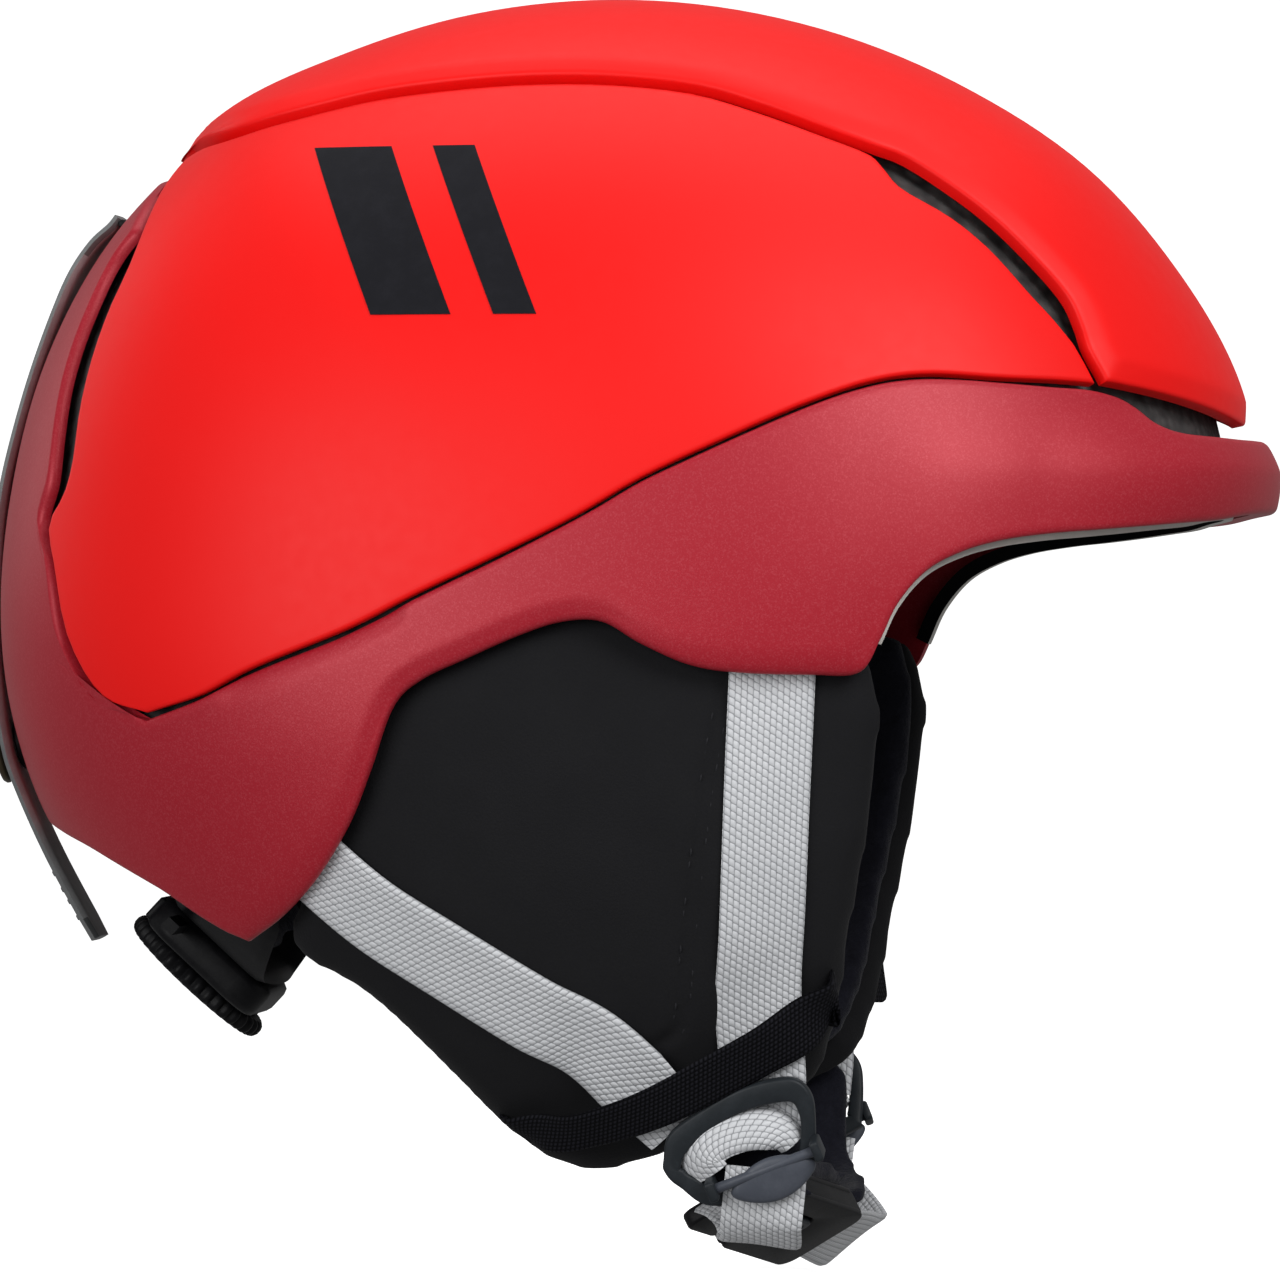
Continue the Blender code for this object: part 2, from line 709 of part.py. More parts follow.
def ear_pads():
    """Soft cover outside and fleece lining inside, over each ear."""
    across, up = 14, 7
    cover = Sheet()
    cover.grid(coons(*pad_edges(across, up)))
    pair("ear_pad", cover.solid(-EAR_PAD_AT, -EAR_PAD_AT - EAR_PAD), "pad_fabric")
    lining_at = EAR_PAD_AT + EAR_PAD + PAD_GAP
    lining = Sheet()
    lining.grid(coons(*pad_edges(across, up, 5.0)))
    pair("ear_lining", lining.solid(-lining_at, -lining_at - EAR_LINING), "fleece")


# --------------------------------------------------------------------------- dividers
DIVIDER_OUTER = [(-15.6, -5.0), (-14.2, 0.6), (-6.8, 6.4), (0.8, 10.6), (8.4, 12.6),
                 (12.6, 12.4), (15.4, 9.4), (16.2, 4.8), (16.0, -3.8), (14.6, -6.0),
                 (-4.0, -14.8), (-12.4, -10.8), (-15.4, -7.6)]
DIVIDER_SLOT = [(-12.0, -6.4), (-10.4, -2.8), (-4.9, 2.2), (2.4, 6.0), (8.6, 7.6),
                (11.4, 7.6), (12.6, 5.8), (13.2, 3.0), (12.8, -2.2), (11.6, -3.6),
                (-3.4, -10.0), (-9.4, -8.6), (-11.4, -7.2)]
BAR_ANGLE = math.radians(22)
LEVER_LENGTH = 19.5
LEVER_HEIGHT = 10.5
LEVER_AT = DIVIDER_THICK + 2.8
LEVER_THICK = 2.2
TRUNNION_AT = (4.2, LEVER_AT + 1.1)     # the lever's hinge line, up and out
TRUNNION_RADIUS = 1.1
EAR_INNER, EAR_OUTER = 10.6, 12.8


def divider_frame():
    out = Vector((0.0, -math.cos(DIVIDER_TILT), -math.sin(DIVIDER_TILT)))
    return frame_at(DIVIDER_CENTRE, Vector((1, 0, 0)), out)


DIVIDER = divider_frame()
LEVER = DIVIDER @ Matrix.Translation((5.4, -10.4, 0)) @ Matrix.Rotation(BAR_ANGLE, 4, "Z")


def lens(length, height, count):
    """Outline of a lens: two arcs that meet in rounded points."""
    points = []
    for k in range(count):
        angle = 2 * math.pi * k / count
        a = math.cos(angle)
        b = math.sin(angle)
        points.append((length / 2 * a, height / 2 * b * (1 - 0.35 * a * a)))
    return points


def rod(radius, low, high, centre, count=12):
    """Round bar along the lever's hinge line, from low to high."""
    b, out = centre
    place = LEVER @ Matrix.Translation((0, b, out)) @ Matrix.Rotation(math.pi / 2, 4, "Y")
    return prism(circle(radius, count), low, high, place)


def dividers():
    """Frame that gathers the front and rear straps, with ears for its lock lever."""
    frame_parts = [ring_prism(DIVIDER_OUTER, DIVIDER_SLOT, 0.0, DIVIDER_THICK, DIVIDER)]
    b, out = TRUNNION_AT
    for low, high in ((EAR_INNER, EAR_OUTER), (-EAR_OUTER, -EAR_INNER)):
        ear = prism(rectangle(low, high, b - 2.2, b + 2.2), DIVIDER_THICK - 1.0, out + 2.2, LEVER)
        frame_parts.append(ear)
    bore = rod(TRUNNION_RADIUS + 0.35, -EAR_OUTER + 0.8, EAR_OUTER - 0.8, TRUNNION_AT)
    lever_parts = [
        prism(lens(LEVER_LENGTH, LEVER_HEIGHT, 20), LEVER_AT, LEVER_AT + LEVER_THICK, LEVER),
        rod(TRUNNION_RADIUS, -EAR_OUTER + 1.2, EAR_OUTER - 1.2, TRUNNION_AT),
    ]
    pivot = LEVER @ Vector((0.0, b, out))
    for hand in ("right", "left"):
        flip = hand == "left"
        name = "divider_" + hand
        body = finish(name, handed(frame_parts[0], flip), "slate_plastic")
        for k, ear in enumerate(frame_parts[1:]):
            combine(body, handed(ear, flip), "%s_ear_%d" % (name, k), "UNION")
        combine(body, handed(bore, flip), name + "_bore", "DIFFERENCE")
        centre = mirrored(pivot) if flip else pivot
        lever = finish("divider_lever_" + hand, handed(lever_parts[0], flip), "slate_plastic",
                       centre)
        combine(lever, handed(lever_parts[1], flip), "lever_trunnion_" + hand, "UNION")


# ----------------------------------------------------------------------------- straps
FRONT_STRAP = [(36.6, -103.6), (36.3, -111.0), (35.2, -137.7), (34.0, -163.3), (32.8, -181.0)]
REAR_STRAP = [(-67.0, -148.4), (-61.7, -154.0), (-50.0, -163.4), (-35.3, -172.4),
              (-16.3, -183.9), (-2.0, -192.0)]
# The elastic keeper: x, z and depth below the skin; it stands out over the straps.
KEEPER = [(47.6, -180.0, 2.6), (37.6, -185.6, -1.2), (23.2, -193.2, -2.2), (8.0, -200.0, -3.6),
          (-8.0, -205.6, -2.8), (-25.0, -209.4, 2.4)]
BEHIND_DIVIDER = -1.5


def skin_path(points, depth):
    """Points at a depth below the skin, with the skin's normals."""
    places = [lifted(side(x, z), -depth) for x, z in points]
    return places, [skin_normal(place) for place in places]


def band(places, normals, width, thickness, count):
    return strip(evenly(places, count), curve(normals, count), width, thickness)


def side_straps():
    """Webbing over the ear pad, from under the shell to behind the divider."""
    out = DIVIDER.to_3x3() @ Vector((0, 0, 1))
    places, normals = skin_path(FRONT_STRAP, WEBBING_AT)
    places += [DIVIDER @ Vector((5.2, 12.0, BEHIND_DIVIDER)),
               DIVIDER @ Vector((4.6, 2.0, BEHIND_DIVIDER))]
    pair("front_strap", band(places, normals + [out, out], WEBBING, WEBBING_THICK, 12),
         "webbing")
    places, normals = skin_path(REAR_STRAP, WEBBING_AT)
    places.append(DIVIDER @ Vector((-16.6, 2.2, BEHIND_DIVIDER)))
    pair("rear_strap", band(places, normals + [out], WEBBING, WEBBING_THICK, 12), "webbing")


def keeper_bands():
    """Elastic that ties the straps to the ear pad."""
    places = [lifted(side(x, z), -depth) for x, z, depth in KEEPER]
    normals = [skin_normal(place) for place in places]
    pair("keeper_band", band(places, normals, 10.0, 1.0, 12), "elastic")


def strap_anchors():
    """Moulded anchor at the top of each strap, between the shell and the ear pad."""
    for name, (x, z), along in (("front_anchor", (36.8, -101.2), Vector((1, 0, 0))),
                                ("rear_anchor", (-68.8, -145.9), Vector((0.72, 0, 0.69)))):
        top = lifted(side(x, z), -4.9)
        place = frame_at(top, along, skin_normal(top))
        pair(name, prism(rectangle(-9.4, 9.4, -1.1, 1.1, 0.8), -0.9, 0.9, place),
             "black_plastic")


# ------------------------------------------------------------------------- chin strap
def buckle_frame():
    """First axis along the strap, third axis out from under the chin."""
    return frame_at(BUCKLE_NEAR, BUCKLE_ALONG, BUCKLE_OUT)


BUCKLE = buckle_frame()
SOCKET_LENGTH = 38.0
PLUG_NECK = 13.0
CHIN_GAP = 1.7


def chin_strap():
    """Webbing and pad that swing together below the dividers."""
    axis = Vector((SLING_AXIS[0], 0.0, SLING_AXIS[1]))
    turned = BUCKLE.to_3x3() @ Vector((0, 0, 1))
    hanging = DIVIDER.to_3x3() @ Vector((0, 0, 1))
    top = [DIVIDER @ Vector((6.0, -6.4, 4.4)), DIVIDER @ Vector((5.4, -12.0, 4.4)),
           DIVIDER @ Vector((4.6, -18.8, 3.6))]
    right = top + [Vector((31.0, -71.5, -229.8)), Vector((28.4, -61.5, -228.0)),
                   BUCKLE @ Vector((-PLUG_NECK - CHIN_GAP - 7, 0, 1.6)),
                   BUCKLE @ Vector((-PLUG_NECK - CHIN_GAP, 0, 0))]
    facing = [hanging, hanging, Vector((0, -0.85, -0.5)), Vector((0.15, -0.3, -0.95)),
              Vector((0.35, -0.3, -0.88)), turned, turned]
    finish("chin_webbing_right", band(right, facing, 17.0, WEBBING_THICK, 14), "webbing", axis)
    left = [mirrored(point) for point in top]
    left += [Vector((37.5, 70.0, -229.8)), Vector((42.0, 58.0, -233.6)),
             Vector((43.4, 42.0, -235.2)), Vector((42.0, 25.0, -234.0)),
             BUCKLE @ Vector((SOCKET_LENGTH + CHIN_GAP, 0, 0))]
    facing = [mirrored(hanging), mirrored(hanging), Vector((0.1, 0.9, -0.4)),
              Vector((0.35, 0.5, -0.8)), Vector((0.6, 0.2, -0.75)),
              Vector((0.68, 0.0, -0.7)), Vector((0.6, -0.15, -0.78)), turned]
    finish("chin_webbing_left", band(left, facing, 17.0, WEBBING_THICK, 14), "webbing", axis)
    pad_line = [BUCKLE @ Vector((along, 0, -6.6)) for along in (-4, 10, 24, 38)]
    finish("chin_pad", band(pad_line, [turned] * 4, 26.0, 5.0, 9), "fleece", axis)
    line = [Vector((29.5, -73.2, -208.5)), Vector((29.8, -72.2, -216.0)),
            Vector((30.6, -69.0, -222.6))]
    facing = [Vector((0, -1, 0)), Vector((0, -0.98, -0.2)), Vector((0.05, -0.8, -0.6))]
    finish("strap_pad_right", band(line, facing, 26.0, 4.4, 8), "fleece", axis)
    line = [mirrored(point) for point in line]
    line += [Vector((34.6, 62.0, -228.0)), Vector((38.4, 50.0, -230.6))]
    facing = [Vector((0, 1, 0)), Vector((0, 0.98, -0.2)), Vector((0.1, 0.8, -0.6)),
              Vector((0.35, 0.45, -0.8)), Vector((0.55, 0.1, -0.8))]
    finish("strap_pad_left", band(line, facing, 26.0, 4.4, 12), "fleece", axis)


def buckle_parts():
    """Side-loading buckle: socket with a window, sliding plug and release button."""
    axis = Vector((SLING_AXIS[0], 0.0, SLING_AXIS[1]))
    body = prism(rectangle(0.0, SOCKET_LENGTH, -11.0, 11.0, 3.0), -3.4, 3.4, BUCKLE)
    socket = finish("buckle_socket", body, "black_plastic", axis)
    cavity = prism(rectangle(-2.0, 25.0, -8.6, 8.6), -1.7, 1.7, BUCKLE)
    combine(socket, cavity, "socket_cavity", "DIFFERENCE")
    window = prism(rectangle(8.0, 20.0, -5.0, 5.0), -0.5, 5.0, BUCKLE)
    combine(socket, window, "socket_window", "DIFFERENCE")
    outline = [(-PLUG_NECK, -10.5), (-0.6, -10.5), (-0.6, -8.0), (22.0, -8.0), (23.6, -5.0),
               (23.6, 5.0), (22.0, 8.0), (-0.6, 8.0), (-0.6, 10.5), (-PLUG_NECK, 10.5)]
    finish("buckle_plug", prism(outline, -1.2, 1.2, BUCKLE), "black_plastic", BUCKLE_NEAR)
    button = prism(rectangle(8.5, 19.5, -4.5, 4.5, 1.0), 2.6, 4.4, BUCKLE)
    finish("buckle_button", button, "slate_plastic", BUCKLE @ Vector((14.0, 0, 3.0)))


# -------------------------------------------------------------- goggle-strap retainer
# Middle line of the rubber band in the helmet's centre plane, from its hinge down.
RETAINER = [(-113.9, -15.2), (-117.8, -18.9), (-121.9, -25.0), (-125.6, -33.4),
            (-130.0, -45.4), (-133.9, -58.4), (-137.0, -71.6), (-138.5, -85.0),
            (-139.1, -104.0), (-138.2, -116.0), (-136.7, -126.5), (-134.0, -135.0),
            (-127.0, -150.5), (-117.2, -168.5)]
RETAINER_PIVOT = Vector((-112.6, 0.0, -12.6))


def goggle_retainer():
    """Rubber band that holds a goggle strap against the back of the helmet."""
    points = [Vector((x, 0.0, z)) for x, z in RETAINER]
    centres = evenly(points, 24)
    normals = []
    for i in range(25):
        along = (centres[min(i + 1, 24)] - centres[max(i - 1, 0)]).normalized()
        normals.append(along.cross(Vector((0, -1, 0))) * -1)
    normals = [normal if normal.x < 0 else -normal for normal in normals]
    finish("goggle_strap", strip(centres, normals, RETAINER_WIDTH, RETAINER_THICK),
           "retainer_rubber", RETAINER_PIVOT)
    snap = min(range(25), key=lambda i: abs(centres[i].z - SNAP_HEIGHT))
    place = frame_at(centres[snap], Vector((0, 1, 0)), normals[snap])
    half = RETAINER_THICK / 2
    finish("snap_cap", prism(circle(SNAP_RADIUS, 24), half + 0.3, half + 2.0, place), "bronze",
           RETAINER_PIVOT)
    finish("snap_stud", prism(circle(STUD_RADIUS, 20), -half - 1.6, -half - 0.5, place),
           "black_plastic")
    bar_place = frame_at(RETAINER_PIVOT, Vector((1, 0, 0)), Vector((0, 1, 0)))
    finish("retainer_pin", prism(circle(1.3, 12), -13.0, 13.0, bar_place), "black_plastic",
           RETAINER_PIVOT)


# ------------------------------------------------------------------------- fit system
def dial_frame():
    """Third axis out of the dial, second axis up and rearwards."""
    return frame_at(DIAL_CENTRE, Vector((0, -1, 0)), DIAL_AXIS)


DIAL = dial_frame()
RACK_LEVELS = (-6.6, -4.1)
RACK_INNER, RACK_TOOTHED, RACK_OUTER = -13.0, 16.0, 40.0
STEM = [(-99.9, -156.4), (-98.2, -146.0), (-98.0, -134.0), (-101.2, -120.6)]


def dial_outline():
    points = []
    for k in range(DIAL_LOBES * 2):
        angle = math.pi * k / DIAL_LOBES
        radius = DIAL_RADIUS if k % 2 == 0 else DIAL_RADIUS - 0.9
        points.append((radius * math.cos(angle), radius * math.sin(angle)))
    return points


def pinion_outline():
    """Straight-sided teeth, thinned so that they run free in the racks."""
    points = []
    step = 2 * math.pi / PINION_TEETH
    for k in range(PINION_TEETH):
        middle = k * step
        for radius, spread in ((4.8, 0.30), (6.7, 0.10)):
            points.append((radius, middle - spread * step))
        for radius, spread in ((6.7, 0.10), (4.8, 0.30)):
            points.append((radius, middle + spread * step))
    return [(r * math.cos(a), r * math.sin(a)) for r, a in points]


def rack_outline():
    """Rack above the pinion, teeth down; a tooth gap faces the pinion's top tooth."""
    back, root, tip = 10.4, 7.3, 5.4
    points = [(RACK_OUTER, back), (RACK_INNER, back), (RACK_INNER, root)]
    first = math.ceil((RACK_INNER + 1.2) / TOOTH_PITCH - 0.5)
    last = math.floor((RACK_TOOTHED - 1.2) / TOOTH_PITCH - 0.5)
    for k in range(first, last + 1):
        middle = (k + 0.5) * TOOTH_PITCH
        points += [(middle - 0.75, root), (middle - 0.3, tip), (middle + 0.3, tip),
                   (middle + 0.75, root)]
    points.append((RACK_OUTER, root))
    return points


def fit_dial():
    """Lobed wheel with its stem, pinion and centre screw, on one axis."""
    finish("fit_dial", prism(dial_outline(), 0.4, DIAL_THICK, DIAL), "black_plastic",
           DIAL_CENTRE)
    finish("dial_stem", prism(circle(2.6, 16), -3.7, 0.1, DIAL), "black_plastic", DIAL_CENTRE)
    finish("dial_pinion", prism(pinion_outline(), *RACK_LEVELS, DIAL), "black_plastic",
           DIAL_CENTRE)
    screw = prism(circle(3.2, 16), DIAL_THICK + 0.3, DIAL_THICK + 1.2, DIAL)
    finish("dial_screw", screw, "steel", DIAL_CENTRE)


def fit_bands():
    """Two racks, one each side of the pinion, that draw the cradle in."""
    for name, turn in (("fit_band_right", 0.0), ("fit_band_left", math.pi)):
        place = DIAL @ Matrix.Rotation(turn, 4, "Z")
        finish(name, prism(rack_outline(), *RACK_LEVELS, place), "black_plastic", DIAL_CENTRE)


def dial_housing():
    """Cover over the pinion and racks, open towards the cradle that closes it."""
    shape = rectangle(-23.0, 23.0, -15.5, 15.5, 7.0)
    housing = finish("dial_housing", prism(shape, -7.4, 0.0, DIAL), "black_plastic")
    cavity = prism(rectangle(-20.6, 20.6, -12.0, 12.0, 2.0), -9.0, -2.2, DIAL)
    combine(housing, cavity, "housing_cavity", "DIFFERENCE")
    combine(housing, prism(circle(3.1, 16), -4.0, 2.0, DIAL), "housing_bore", "DIFFERENCE")
    for name, turn in (("housing_exit_right", 0.0), ("housing_exit_left", math.pi)):
        place = DIAL @ Matrix.Rotation(turn, 4, "Z")
        slot = prism(rectangle(19.0, 25.0, 4.6, 11.2), -9.0, RACK_LEVELS[1] + 0.5, place)
        combine(housing, slot, name, "DIFFERENCE")


def fit_cradle():
    """Plate that closes the housing and wraps the nape, its pad, stem and rivet."""
    places, normals = [], []
    for u in (-54, -46, -38, -30, -20, 0, 20, 30, 38, 46, 54):
        bend = max(0.0, abs(u) - 26.0) / 28.0
        places.append(DIAL @ Vector((u, 0.0, -8.9 - 16.0 * bend ** 1.6)))
        slope = 25.6 / 28.0 * bend ** 0.6
        side_sign = 1 if u > 0 else -1
        normals.append(DIAL.to_3x3() @ Vector((side_sign * slope, 0, 1)).normalized())
    count = 20
    widths = [29.0 - 12.0 * abs(1 - 2 * i / count) ** 2 for i in range(count + 1)]
    finish("fit_cradle", band(places, normals, widths, 2.2, count), "black_plastic")
    inner = [place - normal * 3.3 for place, normal in zip(places, normals)][1:-1]
    widths = [23.0 - 9.0 * abs(1 - 2 * i / count) ** 2 for i in range(count + 1)]
    finish("cradle_pad", band(inner, normals[1:-1], widths, 3.2, count), "fleece")
    stem = [Vector((x, 0.0, z)) for x, z in STEM]
    rearward = [Vector((-1, 0, 0))] * len(stem)
    finish("cradle_stem", band(stem, rearward, 15.0, 1.8, 10), "black_plastic")
    rivet_place = frame_at(Vector((-98.9, 0, -124.4)), Vector((0, 1, 0)), Vector((1, 0, 0.26)))
    finish("cradle_rivet", prism(circle(4.2, 16), 0.0, 1.4, rivet_place), "steel")


def main():
    clear_scene()
    crown_shell()
    side_shells()
    lower_shell()
    brow_trim()
    eps_liner()
    comfort_pads()
    ear_pads()
    dividers()
    side_straps()
    keeper_bands()
    strap_anchors()
    chin_strap()
    buckle_parts()
    goggle_retainer()
    fit_dial()
    fit_bands()
    dial_housing()
    fit_cradle()


main()
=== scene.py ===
"""Looks for the ski helmet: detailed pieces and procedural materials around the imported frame.

Shapes repeat the CAD source's skin at a finer step. Lengths are in millimetres until a
mesh is made, when MM turns them into metres. +X is the front, +Y the wearer's left, +Z up.
"""

import math

import bmesh
import bpy
import numpy as np
from mathutils import Matrix, Vector
from mathutils.bvhtree import BVHTree
from mathutils.kdtree import KDTree


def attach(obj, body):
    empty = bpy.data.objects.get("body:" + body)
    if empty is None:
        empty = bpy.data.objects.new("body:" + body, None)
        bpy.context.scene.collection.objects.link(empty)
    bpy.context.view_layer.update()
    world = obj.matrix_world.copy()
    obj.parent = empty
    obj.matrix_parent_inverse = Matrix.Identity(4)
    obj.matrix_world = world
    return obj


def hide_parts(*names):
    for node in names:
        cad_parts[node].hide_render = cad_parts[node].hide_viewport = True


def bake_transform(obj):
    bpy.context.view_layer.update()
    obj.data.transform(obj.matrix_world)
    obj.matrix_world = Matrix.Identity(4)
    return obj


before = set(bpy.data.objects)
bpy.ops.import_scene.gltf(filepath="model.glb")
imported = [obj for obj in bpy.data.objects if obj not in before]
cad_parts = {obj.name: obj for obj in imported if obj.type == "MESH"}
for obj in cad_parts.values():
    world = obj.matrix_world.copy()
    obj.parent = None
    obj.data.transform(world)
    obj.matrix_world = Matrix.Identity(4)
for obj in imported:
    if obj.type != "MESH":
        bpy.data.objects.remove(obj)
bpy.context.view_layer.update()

MM = 0.001
TURN = 2 * math.pi
OUTWARD = Vector((0, 0, 1))

# ------------------------------------------------------------------ CAD dimensions
HALF_WIDTH = 107.0
CENTRE = np.array([-2.0, 0.0, -114.0])
FULLNESS = 2.25
SILHOUETTE = [
    (-97.6, -0.5), (-84.2, 10.2), (-62.4, 20.0), (-36.5, 28.0), (0.0, 31.2), (34.3, 26.2),
    (69.2, 12.5), (95.0, -4.6), (112.3, -24.0), (126.0, -47.3), (130.5, -65.0), (130.5, -90.0),
    (126.0, -120.0), (112.0, -160.0), (84.0, -204.0), (44.0, -232.0), (0.0, -240.0),
    (-40.0, -234.0), (-75.0, -210.0), (-98.0, -186.0), (-112.0, -168.0), (-122.0, -152.0),
    (-129.2, -138.4), (-135.5, -118.0), (-137.3, -104.0), (-135.1, -71.5), (-127.5, -43.2),
    (-114.2, -18.5),
]
SHELL = 2.6
CROWN_PROUD = 2.4
CROWN_WALL = 4.4
LINER_AT = 4.6
PAD_GAP = 1.2
BRIM_REACH = 7.0
EAR_PAD_AT = 6.9
EAR_PAD = 11.0
EAR_LINING = 4.0
WEBBING_THICK = 1.3
WEBBING_WIDE = 18.0
SLING_WIDE = 17.0
WEBBING_AT = 5.3
RETAINER_THICK = 2.4
SNAP_HEIGHT = -126.5
DIAL_CENTRE = (-94.2, 0.0, -174.9)
DIAL_AXIS = (-0.683209, 0.0, -0.730223)
DIVIDER_CENTRE = (27.0, -80.0, -207.0)
DIVIDER_TILT = math.radians(14)
DIVIDER_THICK = 3.0
BUCKLE_NEAR = Vector((26.5, -29.5, -224.7))
BUCKLE_ALONG = Vector((0.30, 0.94, -0.15))
BUCKLE_OUT = Vector((0.45, -0.30, -0.84))

CROWN_EDGE = [
    (-95.4, 1.1), (-85.2, 3.9), (-72.0, 7.2), (-54.1, 11.1), (-36.1, 13.3), (-18.5, 14.4),
    (0.0, 14.1), (17.5, 12.0), (30.5, 8.1), (43.6, 3.2), (53.8, -0.6), (60.5, -3.1),
    (70.0, -9.2), (77.8, -15.1), (86.4, -23.3), (94.2, -32.2), (97.2, -38.4), (99.0, -43.6),
    (102.6, -50.2),
]
CROWN_FRONT_Z = -58.3
SIDE_TOP = [
    (-96.6, -0.6), (-85.6, 2.4), (-72.4, 5.8), (-54.4, 9.8), (-36.2, 12.0), (-18.5, 13.1),
    (0.0, 12.8), (17.0, 10.7), (29.9, 6.8), (43.0, 2.0), (53.0, -1.9), (56.2, -4.8),
    (60.4, -9.4), (70.3, -15.2), (78.0, -21.4), (86.6, -30.8), (92.3, -37.0), (96.6, -42.4),
]
SIDE_REAR = [(-97.2, -119.4), (-108.0, -115.6), (-116.0, -103.6), (-119.4, -89.4),
             (-121.2, -80.0), (-117.6, -73.4), (-115.6, -66.0), (-114.6, -56.0),
             (-112.6, -45.6), (-109.6, -35.6), (-104.8, -23.6), (-101.6, -12.0),
             (-96.6, -0.6)]
SIDE_SEAM = [(-97.2, -119.4), (-85.2, -115.2), (-74.3, -109.8), (-54.0, -101.8),
             (-39.4, -94.6), (-22.2, -86.5), (-5.6, -78.2), (8.6, -69.9), (25.4, -61.9),
             (41.8, -54.6), (55.0, -50.0), (66.5, -48.3), (82.8, -49.0), (100.9, -50.3)]
LOWER_RIBS = [
    ((-97.8, -121.1), (-76.9, -168.0)), ((-85.6, -116.7), (-69.0, -162.4)),
    ((-74.7, -111.3), (-61.0, -154.2)), ((-62.0, -106.4), (-53.6, -143.0)),
    ((-54.3, -103.4), (-48.4, -131.0)), ((-46.0, -99.5), (-43.4, -118.0)),
    ((-39.7, -96.2), (-37.4, -112.4)), ((-31.0, -92.0), (-28.0, -108.0)),
    ((-22.6, -88.1), (-17.0, -103.2)), ((-12.0, -82.8), (-8.0, -100.3)),
    ((-2.0, -77.5), (0.4, -100.2)), ((8.3, -71.4), (8.6, -104.8)),
    ((17.0, -67.2), (18.6, -109.2)), ((25.1, -63.4), (29.0, -110.9)),
    ((41.5, -56.1), (44.0, -111.4)), ((49.0, -53.2), (53.6, -111.0)),
    ((54.9, -51.4), (57.6, -104.6)), ((60.0, -50.3), (61.4, -96.6)),
    ((66.5, -49.7), (67.2, -89.8)), ((74.0, -49.8), (74.4, -85.8)),
    ((82.9, -50.4), (82.6, -83.4)), ((92.0, -51.1), (92.1, -82.0)),
    ((101.1, -51.9), (101.0, -81.2)), ((107.8, -54.4), (109.0, -80.4)),
    ((112.0, -59.0), (116.0, -79.6)), ((117.4, -61.4), (122.0, -78.9)),
]
LOWER_FRONT = [(-34.0, -62.2, -77.8), (-17.0, -62.3, -77.2), (0.0, -62.3, -77.0)]
SPINE_EDGE = [(-97.8, -121.1), (-108.8, -117.2), (-117.4, -104.4), (-120.7, -89.4),
              (-123.6, -79.4), (-121.2, -70.6), (-120.4, -60.2), (-119.4, -50.6),
              (-117.4, -41.8), (-114.4, -33.1), (-109.8, -22.5), (-104.9, -16.2)]
SPINE_TOP = [(0.0, -3.4), (-14.0, -5.2), (-27.0, -10.2)]
NAPE_EDGE = [(0.0, -143.0), (-20.0, -144.0), (-36.0, -146.0), (-50.0, -149.4)]
LINER_RIM = [(-85.0, -160.0), (-78.0, -147.0), (-70.0, -132.0), (-60.0, -115.0),
             (-48.0, -102.0), (-30.0, -94.0), (-8.0, -88.0), (14.0, -92.0), (34.0, -96.0),
             (52.0, -96.0), (60.0, -86.5), (75.0, -80.0), (93.0, -77.0), (110.0, -75.6)]
PAD_FRONT = [(57.0, -104.0), (61.0, -117.0), (61.0, -134.0), (58.6, -155.0), (55.6, -170.0),
             (52.8, -188.0), (47.0, -203.0)]
PAD_LOWER = [(-73.0, -174.0), (-62.0, -180.6), (-51.0, -189.0), (-39.0, -201.0),
             (-26.0, -214.0), (-10.0, -223.0), (5.0, -222.0), (24.0, -214.0), (47.0, -203.0)]
PAD_UPPER = [(-73.0, -166.0), (-64.0, -150.0), (-54.0, -128.0), (-46.0, -110.0),
             (-30.0, -100.0), (-8.0, -93.0), (14.0, -98.0), (34.0, -102.0), (57.0, -104.0)]
FRONT_STRAP = [(36.6, -103.6), (36.3, -111.0), (35.2, -137.7), (34.0, -163.3), (32.8, -181.0)]
REAR_STRAP = [(-67.0, -148.4), (-61.7, -154.0), (-50.0, -163.4), (-35.3, -172.4),
              (-16.3, -183.9), (-2.0, -192.0)]
KEEPER = [(47.6, -180.0, 2.6), (37.6, -185.6, -1.2), (23.2, -193.2, -2.2), (8.0, -200.0, -3.6),
          (-7.0, -205.2, -2.4), (-19.0, -208.4, 2.6)]
RETAINER = [(-112.2, -13.0), (-113.9, -15.2), (-117.8, -18.9), (-121.9, -25.0), (-125.6, -33.4),
            (-130.0, -45.4), (-133.9, -58.4), (-137.0, -71.6), (-138.5, -85.0),
            (-139.1, -104.0), (-138.2, -116.0), (-136.7, -126.5), (-134.0, -135.0),
            (-127.0, -150.5), (-117.2, -168.5)]
DIVIDER_OUTER = [(-15.6, -5.0), (-14.2, 0.6), (-6.8, 6.4), (0.8, 10.6), (8.4, 12.6),
                 (12.6, 12.4), (15.4, 9.4), (16.2, 4.8), (16.0, -3.8), (14.6, -6.0),
                 (-4.0, -14.8), (-12.4, -10.8), (-15.4, -7.6)]
DIVIDER_SLOT = [(-12.0, -6.4), (-10.4, -2.8), (-4.9, 2.2), (2.4, 6.0), (8.6, 7.6),
                (11.4, 7.6), (12.6, 5.8), (13.2, 3.0), (12.8, -2.2), (11.6, -3.6),
                (-3.4, -10.0), (-9.4, -8.6), (-11.4, -7.2)]


# ------------------------------------------------------------------------ skin maths
def polar_table():
    x, z = np.array(SILHOUETTE).T
    angles = np.arctan2(z - CENTRE[2], x - CENTRE[0])
    radii = np.hypot(x - CENTRE[0], z - CENTRE[2])
    order = np.argsort(angles)
    angles, radii = angles[order], radii[order]
    angles = np.concatenate([angles[-2:] - TURN, angles, angles[:2] + TURN])
    return angles, np.concatenate([radii[-2:], radii, radii[:2]])


ANGLES, RADII = polar_table()


